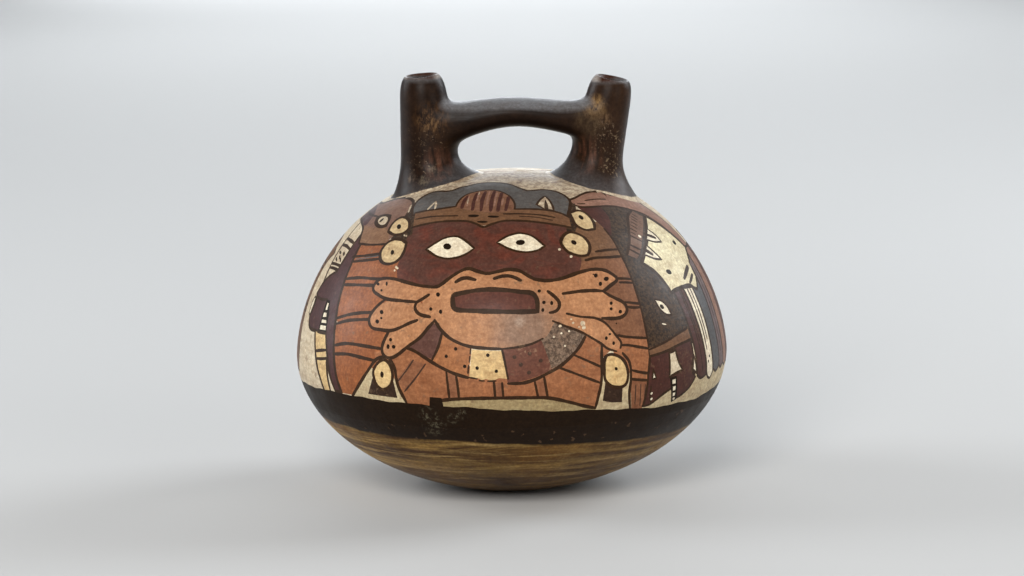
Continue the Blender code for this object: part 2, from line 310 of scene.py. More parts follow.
for number in range(FEATHER_COUNT):
    x, y = feather(FEATHERS[number % len(FEATHERS)],
                   math.radians(MANTLE_START) + number * FEATHER_TURN,
                   FEATHER_TOP + 2.0 * math.sin(number * 0.5),
                   FEATHER_TIP + 0.7 * math.sin(number * 2.1))
    if number % DISC_EVERY == 4:
        area("cream white", "back",
             [(x + DISC_WIDTH * math.cos(turn), y + DISC_RISE * math.sin(turn))
              for turn in np.linspace(0, 2 * math.pi, 9)[:-1]], 1.3)
        spot("back", (x, y), 2.0)


def cord_edge(up):
    """A line that waves gently along the cord."""
    turns = np.radians(np.linspace(MANTLE_START - 3, MANTLE_END + 2, 60))
    return [(back_sheet(turn, up)[0],
             up + 2.0 * math.sin((turn - math.radians(MANTLE_START)) / FEATHER_TURN * 0.5))
            for turn in turns]


area("tan", "back", cord_edge(CORD_TOP) + cord_edge(CORD_FOOT)[::-1], straight=True)
for up, width in ((CORD_TOP, 1.2), (CORD_FOOT, 1.2), (CORD_MIDDLE, 0.6)):
    line("back", cord_edge(up), width)

# The left side: a brown animal head with a ringed eye at the top, a purple streamer hanging from it
# with a toothed head on its left, cream blocks with lines and marks, and a cream tail below.
area("tan", "left", [(-70, 51), (-36, 52), (-30, 50), (-28, 47.5), (-24.5, 45, 1), (-28, 42),
    (-30, 37), (-31, 30), (-31, 18), (-29.5, 8), (-29, 1), (-31, -4, 1), (-70, -4, 1)], 1.1)
lines("left", 0.9, [(-69, 40), (-50, 40.6), (-30.4, 40)], [(-69, 37.6), (-50, 38.2), (-30.8, 37.6)],
    [(-69, 22), (-50, 22.6), (-31.2, 22)], [(-69, 19.6), (-50, 20.2), (-31.2, 19.6)])
area("cream", "left", [(-21, 60.5, 1), (-15, 60.2), (-9, 57.5, 1), (-8.5, 40, 1), (-12, 38),
    (-14.5, 35.5), (-18.2, 34, 1), (-19.3, 42), (-20.5, 50)])
lines("left", 1.35, [(-21.5, 61), (-20.8, 52), (-19.8, 42), (-18.2, 33.5)], [(-21, 53.2), (-15, 53),
    (-9.5, 52.5)], [(-20.5, 50), (-15, 50.3), (-9.5, 49.6)], [(-19.8, 41.6), (-14, 42), (-8.5, 42)],
    [(-19.3, 39.8), (-14, 40.2), (-8.8, 40)])
lines("left", 1.2, [(-18.3, 47.2), (-15.8, 46.6)], [(-13.2, 47.4), (-11.3, 46.6)], [(-17.8, 44.2),
    (-15.4, 43.4)], [(-12.8, 44.8), (-11, 43.6)], [(-15.4, 45.6), (-13.6, 44.6)])
area("plum", "left", [(-9.3, 57, 1), (-9, 50), (-8.8, 44), (-9.3, 39.5, 1), (-14, 37),
    (-18.3, 33.3), (-21, 28.6, 1), (-19.2, 27), (-19, 23.5), (-21, 19.5, 1), (-19.5, 16.6),
    (-16.5, 15), (-9, 14.9), (-7.5, 15.2, 1), (-0.8, 15.5, 1), (3, 7.5), (5.5, 0.5), (8.3, -6.5, 1),
    (12.4, -6.6, 1), (9.6, 2), (7, 11), (4.6, 21), (2, 31), (0.4, 38), (-1, 45), (-2.5, 51),
    (-3.6, 55.5, 1)], 1.4)
lines("left", 1.2, [(-17.8, 27.4), (-12, 27.2), (-6.6, 27.8)], [(-18.8, 26.6), (-19.4, 22.5),
    (-21.2, 19.6)])
area("black", "left", [(-7.3, 27.6), (-4.2, 27.8), (-1.6, 22.5), (-0.3, 15.4), (-7.3, 15)],
    straight=True)
for block in ([(-6, 26.6), (-4.6, 26.6), (-4.2, 24), (-5.6, 23.8)],
              [(-6.2, 22.6), (-4, 22.8), (-3.2, 21.2), (-6.2, 20.9)],
              [(-6.2, 19.8), (-2.6, 20), (-2, 18.9), (-6.2, 18.6)],
              [(-6.2, 17.6), (-1.6, 17.8), (-1.2, 16.2), (-6.2, 15.9)]):
    area("cream white", "left", block, straight=True)
area("cream white", "left", [(-22.3, 26.5), (-20.4, 26.8), (-20.2, 23), (-22, 19.6), (-23.4, 22.6)],
    0.9)
area("yellow cream", "left", [(-10, 14.6, 1), (-7.5, 8.5), (-4.6, 2), (-0.5, -7.5, 1),
    (4.6, -7.5, 1), (3.6, 1), (2, 8), (-0.8, 14.8, 1)])
lines("left", 1.5, [(-10.2, 14.8), (-7.8, 9), (-4.6, 2), (-2, -3), (-0.3, -7.8)])
lines("left", 1.35, [(-8, 14.8), (-0.6, 15)], [(3, 6), (3.9, 0), (4.7, -7.5)], [(-6.2, 7.4),
    (-2, 8.2), (2.2, 8.8)], [(-4.8, 4.6), (-1, 5), (3.2, 5.7)])

# The front figure's cloak at its left and right: orange and red-brown panels crossed by pairs of
# dark lines, with a streaked brown strip at the far right.
area("orange", "left", [(-3.2, 56, 1), (4, 56.5), (12, 57, 1), (30, 58, 1), (45, 50), (45, 20, 1),
    (35, 19), (6, 20.5, 1), (4.6, 21), (2, 31), (0.4, 38), (-1, 45), (-2.5, 51)])
area("orange", "left", [(5.2, 20, 1), (25, 22.5), (42, 22, 1), (40, 12, 1), (35.5, 10.5), (31, 4.5),
    (24.5, -2.5), (19.8, -6.8, 1), (12.6, -6.8, 1), (9.6, 2), (7, 11)])
lines("left", 1.35, [(-2.8, 47), (6, 48.7), (14, 50.6)], [(-0.6, 45), (7, 46.6), (15, 48.2)],
    [(0.8, 37.6), (10, 39.2), (20, 39.7), (29, 40.6)], [(1.8, 35.2), (11, 36.2), (20.5, 37)],
    [(4.8, 21.7), (12, 24), (19, 25.5), (25.5, 26.3)], [(5.6, 19.6), (13, 21.8), (25.5, 23.6)],
    [(7.6, 11.4), (15, 12.9), (24, 13), (34, 12.6)], [(8.6, 8.1), (17, 8.9), (26, 8.3), (33, 7.7)])
lines("left", 0.5, [(0.5, 46.3), (7, 47.8), (13.5, 49.6)], slip="grey blue")
lines("left", 1.5, [(-3.4, 54.8), (-2.4, 50), (-0.8, 44), (0.6, 37), (2.2, 30), (4.8, 20),
    (7.2, 10.5), (9.8, 1.5), (12.6, -6.6)])
area("tan", "front", [(26, 66, 1), (38, 66, 1), (44, 57.5), (48.5, 51), (49.5, 47.8, 1),
    (24, 47.8, 1), (20, 55)])
area("orange brown", "front", [(24, 48, 1), (50, 48, 1), (54, 38), (56.6, 28), (58.6, 17),
    (59.3, 13.7, 1), (44, 14, 1), (32, 18), (18, 34)])
area("red orange", "front", [(34, 19, 1), (46, 15.6), (59, 14, 1), (59.6, 2), (59, -2, 1),
    (46, -0.4, 1), (42, 8)])
area("umber light", "front", [(46.4, -0.4, 1), (58.6, -2.2, 1), (57, -15, 1), (46.4, -14.4, 1)])
lines("front", 0.5, [(50, -3), (49.6, -11)], [(52.4, -3), (52, -12)], [(54.6, -3.4), (54, -11.5)],
    slip="umber dark")
lines("front", 1.1, [(34.5, 51.6), (40, 51.8), (45.5, 51.4)], [(42.8, 39.2), (47, 38.7),
    (51.4, 37.8)], [(44.6, 37.4), (48, 37), (51.4, 36.4)], [(46.4, 29.3), (50, 28.6), (54, 27.8)],
    [(47, 27.4), (50, 26.8), (53.4, 26.5)], [(42.6, 16.8), (46, 15.9), (56, 14.3)], [(43, 13),
    (47, 12.6), (52, 11.4), (56.2, 10.4)], [(48.2, 3), (52, 1.8), (56.4, 0.8)], [(47.6, -0.4),
    (52, -1.2), (57, -2)])
lines("front", 1.2, [(30, 48.2), (34, 48.9), (40, 48.5), (47.2, 48.2)])

# The right side: a tan streamer over a dark field, a cream shape like a hand with slits and dots, a
# charcoal head with an almond eye, purple legs with cream inserts, and long hanging feathers.
FIELD_EDGE = [(-21.6, 62), (-22.6, 56), (-24.2, 50), (-26.4, 40), (-28.4, 30), (-30, 20),
              (-31.1, 10), (-31.6, 0), (-32.2, -8), (-32.6, -13.5)]
area("charcoal", "right", [(-21, 76, 1), (-5, 75), (10, 67, 1), (8, 62, 1), (-14, 42, 1),
    (-8, 30, 1), (-5, 29.5, 1), (-5, 9, 1), (-31.2, 6, 1), *FIELD_EDGE[6::-1]])
area("purple", "right", [(-21.5, 75.5, 1), (-11, 75, 1), (-13.4, 68), (-18, 62), (-21.6, 58, 1)])
line("right", FIELD_EDGE, 0.9)
area("umber", "right", [(-21.2, 48.3, 1), (-18, 46.2, 1), (-13, 49.5), (-8, 53.8), (-3, 57.5),
    (2, 61), (6.2, 64, 1), (3.4, 68.2, 1), (-2.5, 66.2), (-8.5, 61), (-14, 55.2), (-18.4, 51, 1)])
line("right", [(-21.6, 48.4), (-18.7, 51.2), (-14.2, 55.5), (-8.7, 61.2), (-2.7, 66.4), (3, 68.3)],
    1.3)
lines("right", 1.0, [(-18.3, 50.6), (-15.2, 47.6)], [(-16.4, 52.6), (-13, 49.6)], [(-12.4, 56.8),
    (-9, 53.4)])
lines("right", 0.7, [(-10.6, 58.4), (-9.2, 56.8)], [(-8.8, 60), (-7.2, 58)], [(-6.8, 61.6),
    (-5.2, 59.4)], [(-4.8, 63), (-3.4, 60.8)], [(-2.8, 64.4), (-1.4, 62.2)], [(-1, 65.6),
    (0.2, 63.4)], [(1, 66.6), (2, 64.6)])
spot("right", (-7.6, 55.6), 1.5, slip="cream white")
area("rose tan", "right", [(-20.5, 80.6, 1), (-15, 82.2), (-10, 83.8), (-4, 84.4), (0, 82.6),
    (4, 79.2), (8.5, 76.4), (14.4, 74), (18, 70.5), (21, 65.2), (24, 60), (27, 54.4), (31, 46),
    (34, 40, 1), (29, 41, 1), (24.4, 45.4, 1), (18, 53.8), (12.4, 61.4), (8.8, 65.2), (4, 68.6),
    (-1, 71.4), (-6, 73.4), (-13, 74.5), (-19, 75.2), (-21.5, 77, 1)], 1.2)
lines("right", 0.9, [(-13.5, 79.2), (-8, 79), (-3, 77.8)], [(-19, 77.6), (-16, 77.2)])
area("bright cream", "right", [(-17, 44.2, 1), (-12.8, 47.4), (-8, 51.2), (-3, 55.2), (2, 59.2),
    (6, 62.3), (8.4, 63.8, 1), (11, 61.2), (15, 56.2), (19, 51), (24.2, 44.8, 1), (20.4, 42),
    (17.4, 39.2), (16.2, 35.6), (16, 32), (14.6, 29), (11.8, 28.3), (8.8, 29.2), (6.8, 30.6),
    (1.5, 31.1), (-4, 30.8), (-9.4, 30, 1), (-10.4, 34), (-12.8, 39.4)], 1.6)
area("cream white", "right", [(-13, 47.4, 1), (-8.6, 44.8), (-4.6, 43.8, 1), (-6.2, 47.6),
    (-8, 51.2, 1)], 1.0)
area("cream white", "right", [(-5.6, 53.6, 1), (-1, 51.6), (3.5, 51, 1), (3, 54.6), (0.8, 58.2, 1)],
    1.0)
line("right", [(4.0, 34.0), (8, 36), (12.4, 37.9)], 2.0)
line("right", [(7.0, 31.7), (10, 33), (13, 34.4)], 1.4)
lines("right", 2.0, [(-10.9, 49.6), (-8.3, 46.9)], [(-3.2, 56), (1.2, 53.4)])
spot("right", (14.2, 48.7), 3.2, 2.2)
spot("right", (-4.6, 38.2), 3.4, 2.3, -12)
area("cream white", "right", [(-20.6, 28.6, 1), (-17.4, 27.8), (-15, 25), (-14.2, 21.4, 1),
    (-17, 21.9), (-19.6, 24.6)], 1.0)
spot("right", (-18.1, 25.3), 2.3, 1.9, -35)
line("right", [(-21, 18.8), (-19.2, 18.3)], 0.5, "cream white")
area("tan", "right", [(-31.0, 10.4, 1), (-22, 11.8), (-14, 13.8), (-6.6, 15.4, 1), (-6.2, 10, 1),
    (-14, 8.6), (-22, 7), (-31.2, 6.4, 1)])
lines("right", 0.9, [(-31, 9.8), (-22, 11.7), (-14, 13.7), (-7, 15.2)])
area("sand", "right", [(-33, 2), (-6, 2), (-2, -3), (14, -3.6), (34, -2.6), (34, -16), (-33, -16)],
    straight=True)
area("purple", "right", [(-31.2, 7.2, 1), (-22, 8.2), (-14, 9.7), (-6.5, 10.6, 1), (-6.2, 4),
    (-7.8, -0.5), (-4.8, -4.4, 1), (-7.6, -7.8), (-12, -10.4), (-17, -11.8, 1), (-19.4, -6.6, 1),
    (-24, -8.6), (-29.5, -12.2, 1), (-33, -12.5, 1), (-33, 0)], 1.1)
area("cream", "right", [(-20.9, 7.3, 1), (-17.1, 7.9, 1), (-16, 3), (-13.9, -0.2, 1), (-18, -1),
    (-21.8, -2, 1), (-21.3, 3)], 1.1)
area("black", "right", [(-21.5, -2.4), (-17.6, -2), (-16.2, -7), (-14.8, -12), (-17.6, -13),
    (-19.8, -7.5)], straight=True)
for block in ([(-19.9, -3.4), (-18, -3.2), (-17.8, -5), (-19.5, -5.1)],
              [(-19, -6.2), (-17.4, -6.1), (-17.1, -7.8), (-18.5, -8)],
              [(-18.2, -8.9), (-16.8, -8.9), (-16.6, -10.2), (-17.7, -10.4)],
              [(-17.4, -11.1), (-16.1, -11.1), (-16, -12), (-16.9, -12.2)]):
    area("cream white", "right", block, straight=True)
area("cream white", "right", [(-30.4, 2.4), (-29, -1.4), (-30.9, -1.7)], 0.8, straight=True)
area("cream white", "right", [(-6, 5), (-4.8, 1), (-4.1, -3.2), (-7, -1)], 1.0, straight=True)
lines("right", 0.9, [(-31.2, -4.5), (-30.8, -8), (-29.6, -11)])
spots("right", 1.1, (-30.3, -7.4), (-29.6, -9.8), slip="cream white")
area("purple", "right", [(-7.6, 30, 1), (-6.2, 20), (-5, 10), (-4.2, 2), (-3.4, -4, 1), (0, -5.6),
    (4.2, -4.8, 1), (2.4, 8), (0.8, 20), (-0.4, 30.6, 1)], 1.1)
lines("right", 0.7, [(-3.8, 29.6), (-2.4, 18), (-0.6, 6), (0.6, -3)], [(-2.6, 29.6), (-1.2, 18),
    (0.4, 9)])
area("cream white", "right", [(-0.2, 30.6, 1), (1.2, 20), (2.8, 8), (4.4, -3.8, 1), (6, -6),
    (8.6, -7, 1), (10.8, -4.6, 1), (9.6, 4), (8.7, 16), (7.2, 30, 1)], 1.1)
lines("right", 0.9, [(2.6, 29.8), (3.9, 18), (5.2, 5)], [(4.9, 29.6), (5.9, 18), (6.8, 9)],
    slip="umber dark")
spots("right", 1.2, (6.9, 2.1), (5.7, 0.2))
area("grey blue", "right", [(7.4, 30, 1), (8.9, 16), (9.8, 4), (11, -3.6, 1), (14.6, -5),
    (18.4, -3.4, 1), (17.6, 8), (16.8, 20), (15.6, 33, 1), (11, 28.4)], 1.0)
area("mauve", "right", [(16.4, 38.8, 1), (16.6, 20), (18.3, -3.2, 1), (21.2, -4.6), (24.6, -3.4, 1),
    (23.6, 10), (22.6, 26), (21.6, 42.4, 1)], 1.0)
lines("right", 0.6, [(19, 36), (19.8, 18), (21, 2)])
area("rose tan", "right", [(21.8, 42.8, 1), (22.8, 26), (24.8, -3.2, 1), (28.4, -4.6),
    (32.4, -3.6, 1), (31.6, 14), (31, 30), (30.4, 44.6, 1), (24.4, 44.9, 1)], 1.0)
area("dark red", "right", [(30.6, 45, 1), (31.8, 14), (32.6, -3.6, 1), (36, -4.6), (40, -3.6, 1),
    (40, 14), (40, 30), (39.6, 45, 1)], 1.0)
area("cream", "right", [(39.8, 46, 1), (40, 14), (40.2, -3.6, 1), (43.6, -4.6), (47.6, -3.8, 1),
    (47.4, 14), (47.2, 30), (47, 46, 1)], 1.0)

# The figure's skirt and collar: a red-orange skirt with pairs of lines and a black hem, and a
# collar of patches over it, purple, orange, cream, dark red and charcoal.
area("buff", "front", [(-30, -3), (0, -3), (32.6, -4), (33.4, -13.6), (-30.6, -13)], straight=True)
area("red orange", "front", [(-45, 15.5, 1), (-28, 12), (-17, 8), (-2, 6), (12, 8), (25, 15),
    (28, 20, 1), (40, 12, 1), (35.2, 8), (34.8, 0), (33.4, -6), (32, -10.6, 1), (25, -8.6),
    (15, -5.8), (6, -4.8), (-8, -4.6), (-20, -4.8), (-27, -5.6), (-31, -9, 1), (-44, -9, 1),
    (-47, 0), (-48.4, 8)])
area("red orange", "front", [(-57, 11), (-44, 14), (-43, 7), (-56, 7.4)], straight=True)
area("umber light", "front", [(-39.6, 9.4), (-34, 7.8), (-43, -3), (-46.4, 1.4)], straight=True)
lines("front", 0.7, [(-39, 9.2), (-42, 5.2), (-45.6, 1)], [(-33.8, 8), (-38, 2.6), (-43, -3)],
    slip="umber dark")
STRIPE_WIDTH = 3.6
for top, foot in (((-25.4, 5), (-24.4, -4.6)), ((-7, 1.4), (-6.6, -4.4)),
                  ((8.6, 2.4), (9.8, -4.6))):
    area("umber light", "front", [top, (top[0] + STRIPE_WIDTH, top[1] - 0.2),
                                  (foot[0] + STRIPE_WIDTH, foot[1]), foot], straight=True)
lines("front", 1.0, [(-25.4, 5.4), (-24.9, 0), (-24.4, -4.8)], [(-21.6, 4.4), (-21, 0),
    (-20.6, -4.8)], [(-7, 1.6), (-6.6, -4.6)], [(-3.9, 1.2), (-3.5, -4.6)], [(8.4, 2.2),
    (9.7, -4.8)], [(12.1, 3.4), (13.4, -5)], [(17.6, 6.6), (26, 3), (34.4, -0.6)], [(23.6, 11),
    (29.4, 8.2), (35, 5.4)])
line("front", [(-31.5, -8), (-27.5, -5.9), (-18, -4.9), (-5, -4.6), (5, -4.7), (14, -5.2),
    (22, -7.4), (28, -9.5), (32.2, -10.7)], 1.4)
area("collar purple", "front", [(-42, 14.2, 1), (-36, 18.2), (-31, 23), (-29.4, 24.4, 1),
    (-26.8, 20, 1), (-28.6, 14), (-31, 10, 1), (-37, 12)])
area("collar orange", "front", [(-26.8, 20, 1), (-22, 17), (-15.2, 15, 1), (-16, 9),
    (-17.2, 3.8, 1), (-23, 5.4), (-30.8, 9.4, 1), (-28.6, 14)])
area("collar red", "front", [(-3.8, 14.6, 1), (3, 14.9), (8, 16), (11.4, 17.2, 1), (13.4, 12),
    (15.2, 6, 1), (11, 4), (6, 2.4), (0, 1.2), (-1.8, 1, 1), (-2.6, 8)])
area("collar grey", "front", [(11.4, 17.4, 1), (14, 20), (16, 24.2, 1), (22, 21.8), (28.6, 18, 1),
    (26.4, 14), (23, 10.6), (19, 8), (15.2, 6, 1), (13.6, 11)])
area("yellow cream", "front", [(-15.2, 14), (-9, 13.6), (-3.9, 13.4), (-3, 9), (-1.7, 2.8),
    (-5, 3.2), (-6.4, 2.6), (-8.4, 2.3), (-10, 2.9), (-11.6, 2.4), (-13.2, 3.3), (-14.6, 3),
    (-16.4, 3.8), (-15.8, 8.6)], straight=True)
lines("front", 1.3, [(-43.4, 14.2), (-38.5, 12.8), (-34, 10.4), (-28, 7.2), (-22, 4.7), (-17, 3.3)],
    [(-1.6, 1), (4, 1.1), (9, 2.4), (13.4, 4.4), (18.4, 6.9), (23.4, 10.8), (26.4, 14),
    (28.6, 17.4)])
lines("front", 1.1, [(-26.8, 20.2), (-28.6, 14.4), (-31, 9.8)])
lines("front", 0.9, [(-3.6, 13.8), (-2.6, 8.6), (-1.6, 2.8)])
lines("front", 0.7, [(-15.6, 14.6), (-15.9, 12.4)], [(-16, 11.4), (-16.3, 9.2)], [(-16.5, 8),
    (-16.9, 5)], [(-16.6, 3.4), (-13.4, 2.9)], [(-12.6, 2.2), (-10.6, 2.1)], [(-9.4, 2),
    (-6.2, 2.1)])
spots("front", 1.4, (-25.3, 11.3), (-21.5, 14.2), (-18.1, 7.6), (-9.1, 11.9), (-6, 5.8), (-13.3, 7))
spots("front", 1.6, (6.8, 12.2), (3.4, 8.1), (11, 9.4), (6.4, 5), (1, 11), slip="umber dark")
spots("front", 0.8, (19, 22.2), (22.2, 20), (19.2, 19.4), (16.2, 18.2), (20.5, 14.5),
    slip="cream white")

# The pendants: a cream drop with a dark middle on each side of the skirt, over a black-brown foot
# in a cream notch.
area("sand", "front", [(-59.4, 5), (-69.2, -8), (-42.4, -8), (-46, -2), (-48.4, 4)], straight=True)
area("soot brown", "front", [(-57, 3.4), (-48.0, 1.0), (-46.3, -5.9), (-60.4, -5.4)], straight=True)
lines("front", 1.4, [(-51, 9.8), (-55.6, 8.6), (-59.6, 4.4), (-64.4, -1.4), (-69.4, -7.6)],
    [(-50, 9.6), (-47.4, 6), (-46.4, 1), (-45.4, -2), (-42.4, -7.4)])
area("yellow cream", "front", [(-57.4, 4), (-57.2, 1.4), (-55.6, -1.8), (-53, -2.9), (-50.2, -1.8),
    (-48.5, 1), (-48.4, 4.4), (-49.8, 7.3), (-52.4, 8.5), (-55.2, 7)], 1.3)
spot("front", (-53.2, 2.8), 1.7, 2.5)
area("sand", "front", [(34.6, 2), (33.8, -6), (31.8, -13.4), (48, -14.6), (47.4, 2)], straight=True)
area("soot brown", "front", [(36.6, 0), (35.3, -7.9), (39, -9), (43.7, -9.4), (44, -2)],
    straight=True)
lines("front", 1.2, [(32.2, -10.8), (33.6, -5.6), (34.9, 0), (35.2, 8), (35.4, 14)], [(44.4, 9.8),
    (47.3, 6), (47.8, 0), (47, -6), (47.4, -13.4)])
area("yellow cream", "front", [(37.6, 9.7), (41, 9.5), (44.4, 7.4), (46.2, 4), (46.4, 0.2),
    (45.2, -2.4), (42.4, -3.1), (39, -2.2), (36.6, 0.2), (36.2, 4), (36.4, 8)], 1.3)
spot("front", (41.3, 4.2), 1.5, 1.3, -30)

# The head: a charcoal crest of three lobes with a ribbed brown fan and cream ears, a tan headband
# that dips between the brows, a dark red face with almond eyes, and cream discs at its sides.
area("dark red", "front", [(-43, 66, 1), (-36, 67), (-30, 68), (-22, 69.4), (-16, 69.2), (-10, 67),
    (-6, 68.6), (-1, 69.8), (6, 69.4), (14, 67.8), (22, 67, 1), (24, 62, 1), (21, 57), (24, 51.5),
    (28.2, 49.4, 1), (28, 46.4), (26.6, 42, 1), (0, 38, 1), (-40, 37, 1), (-46.4, 40, 1),
    (-46.6, 46.5), (-44, 52), (-44, 61, 1)])
area("charcoal", "front", [(-46.4, 78.4), (-42.2, 78.4), (-41.8, 73), (-40.4, 72.6), (-40.4, 61),
    (-42.8, 59.6), (-43, 56.4), (-50, 57.4), (-54, 58.4), (-54, 62), (-49, 70.4), (-46.4, 71)],
    straight=True)
area("charcoal", "front", [(22, 78.4), (27.4, 78), (27.6, 66), (25.6, 60), (22.6, 62)],
    straight=True)
# The crest is laid in a grey lighter and cooler than the charcoal: partly a painted sheen from
# above.
area("crest grey", "front", [(-42, 71, 1), (-42.8, 75.4), (-41.2, 80), (-38, 84.2), (-34.2, 87.4),
    (-30, 89), (-26.2, 89.4), (-23.8, 90.6, 1), (-20, 94), (-16, 96.6), (-12.4, 99.4), (-9, 101),
    (-5, 101.4), (-1, 100), (2.2, 97), (5, 93.4), (7.4, 91.2, 1), (10, 91.2), (13.6, 91.2),
    (17.4, 89.8), (21, 87), (24, 83), (25.2, 79.6), (24.6, 75.4), (23.4, 71, 1), (10, 74.5),
    (-12, 73), (-30, 73)], 1.2)
area("fan brown", "front", [(-21.4, 77.8, 1), (-19.8, 83), (-17, 87.6), (-13, 90.6), (-8, 92.6),
    (-4, 91.8), (-0.6, 88.4), (1.4, 84.4), (2.4, 80), (2, 75, 1), (-8, 74.4), (-20, 75.6, 1)], 0.8)
lines("front", 1.5, [(-18.6, 77.6), (-17.8, 82), (-16.4, 86.6)], [(-14.2, 76.6), (-13.6, 83),
    (-12.2, 89.4)], [(-10.8, 76.2), (-10.2, 84), (-8.9, 91)], [(-7, 76), (-6.5, 84), (-5.4, 91.2)],
    [(-4.2, 76), (-3.4, 84), (-2.6, 89.6)], [(-1.2, 76.4), (-0.4, 82), (0, 86)], slip="purple")
lines("front", 0.7, [(-16.4, 79), (-16.1, 83), (-15.6, 86)], [(-12.4, 83), (-11.8, 87.6),
    (-11.4, 90.6)], [(-8.6, 80), (-8, 86), (-7.2, 91)], [(-5.6, 79), (-5, 85), (-4.4, 90)],
    [(-2.6, 80), (-2, 85)], slip="rose tan")
lines("front", 0.5, [(-16.3, 81), (-16, 84.4)], [(-11.7, 88), (-11.4, 90.4)], slip="cream")
area("headband", "front", [(-40.4, 72.4, 1), (-34, 74.6), (-28, 76.4), (-21.4, 78.2, 1),
    (-18.6, 77, 1), (-8, 75), (0, 75.6), (2, 77.2, 1), (9, 76.4), (15.4, 75), (20.6, 72.6),
    (24, 69.6, 1), (24.6, 64.8, 1), (19, 66.8), (12, 68.6), (5, 70), (-1, 70.4), (-6, 69),
    (-10, 67.2), (-13.4, 68.8), (-17, 70), (-23, 69.8), (-31, 68.2), (-36, 66.4), (-40.4, 64.8, 1)])
lines("front", 1.2, [(-40.6, 64.6), (-36, 66.3), (-30, 68.2), (-22, 69.5), (-16, 69.5),
    (-12.8, 68.2), (-10, 66.4), (-6.8, 68), (-2, 69.8), (5, 69.6), (12, 68.2), (19, 66.2),
    (24.4, 64.4)], [(-40.6, 72.4), (-34.4, 74.6), (-28, 76.4), (-21.6, 78.4)], [(2.4, 77),
    (9, 76.6), (15.4, 75.2), (20.6, 72.8), (24, 70)])
lines("front", 0.9, [(-39.6, 69), (-35, 70.4), (-30, 71.6), (-20.4, 72.6)], [(-2, 74), (5, 73.8),
    (12, 72.6), (18, 70.6)])
lines("front", 0.6, [(4, 72.4), (11, 71.2), (17, 69)])
spot("front", (-13.8, 72.8), 4.6, 1.7, 4)
spot("front", (-6, 72.4), 4.6, 1.4, -3)
spot("front", (-10.3, 69.3), 4.4, 1.3)
lines("front", 1.0, [(-34.1, 75.5), (-32.6, 78), (-31.5, 79.9)], [(-30.7, 76.2), (-30.5, 78.6),
    (-30.9, 80.9)], slip="cream")
area("cream", "front", [(10.9, 79.4, 1), (12.2, 82.6), (14.4, 85.5, 1), (16, 82.4), (17.4, 77.6),
    (17.7, 75, 1), (14, 76, 1)], 0.9)
area("charcoal", "front", [(14.5, 83, 1), (15.4, 79), (15.6, 75.8, 1), (13.9, 76.2, 1), (14, 79.6)])
area("cream white", "front", [(-33.6, 54.4, 1), (-30, 57.2), (-26, 60), (-22.4, 61.2),
    (-19.8, 61.1), (-17, 59.2), (-13.6, 55.6, 1), (-16.4, 53.2), (-20, 51.4), (-24.6, 50.6),
    (-29, 51.5)], 1.0)
spot("front", (-24.5, 56.2), 3.4, 3.1)
area("cream white", "front", [(-4.8, 58.4, 1), (-1.6, 61), (1.8, 62.6), (5, 62.8), (9, 61),
    (13.6, 56, 1), (11, 54.2), (7, 53.5), (3, 54), (-0.4, 55.4)], 1.0)
spot("front", (4.2, 58.2), 3.6, 2.7, 5)

# The ringed discs at the sides of the face, and the brown animal head beyond the left ones, whose
# long grey beak runs round to the far left.
area("head brown", "left", [(-30, 71.4, 1), (-22, 72.4), (-15, 76), (-9, 79), (-3, 80), (1.6, 79),
    (5, 76.2), (8, 71.6), (14, 64, 1), (12, 55.2, 1), (4, 53.8), (-4.8, 53.2, 1), (-8, 56.4),
    (-11.5, 59.8), (-18, 61.8), (-30, 62.5, 1)])
area("umber warm", "left", [(-12.4, 60.6, 1), (-9, 61.4), (-4.6, 61.2), (0.2, 62), (4.4, 62.6),
    (8.6, 60.6), (11.4, 58, 1), (12, 55.2, 1), (4, 53.8), (-4.8, 53.2, 1), (-8, 56.4),
    (-11.5, 59.4, 1)])
area("plum", "left", [(-30, 71, 1), (-24, 70.4), (-18.6, 69), (-14.6, 67.2), (-12.6, 64.6),
    (-12.2, 61.2), (-18, 62), (-30, 62.8, 1)])
lines("left", 1.4, [(-30, 71.6), (-22, 72.6), (-15, 76.2), (-9, 79.2), (-3, 80.2), (1.8, 79.2),
    (5.2, 76.4), (8, 72), (10.6, 67)])
lines("left", 1.1, [(-30, 66.6), (-20, 66.2), (-9, 66.8)], [(-30, 62.4), (-20, 61.6), (-12, 59.6),
    (-8.2, 56.2), (-5, 53)], [(-5, 53), (4, 53.6), (12.4, 55)])
area("line brown", "left", [(-9.4, 66, 1), (-8.4, 67.8), (-4.1, 69.2), (-0.2, 69.5, 1), (2.2, 67),
    (4.6, 63.2, 1), (2.4, 61.9), (-1.5, 61.8), (-6.4, 63.4)])
area("cream", "left", [(-5.2, 64.5), (-6.3, 66.3), (-5.1, 67.8), (-1.6, 68.2), (0.9, 66.9),
    (2.1, 64.9), (1.4, 63.5), (-1.5, 63.2)], 0.7)
spot("left", (-3.1, 65.7), 1.8, 2.5)
area("disc cream", "front", [(-54, 61, 1), (-53.4, 63.4), (-51.4, 66.6), (-48.2, 68.9),
    (-45.2, 69.2), (-43.1, 67.6), (-42.4, 65), (-43.4, 62.6), (-46.4, 60.6), (-50.4, 59.9)], 1.4)
spot("front", (-48.2, 64.1), 2.5, 2.6, -35)
area("disc cream", "front", [(-56.5, 50), (-55.8, 52.6), (-52.8, 56), (-49, 57.9), (-45.4, 57.8),
    (-43, 56.6, 1), (-43.6, 53.4), (-45.2, 50), (-48.2, 47.4), (-52, 46.4), (-55.3, 47.2)], 1.4)
spot("front", (-49.8, 51.7), 1.9, 2.3, -20)
area("disc cream", "front", [(24.4, 72.6, 1), (28, 73.6), (31, 72), (33.4, 69), (34.9, 65.6),
    (35, 62.4, 1), (31.2, 62.3), (28.2, 64), (26.2, 66.4), (25.2, 69.6)], 1.3)
spot("front", (29.3, 69.3), 1.8, 3.2, 35)
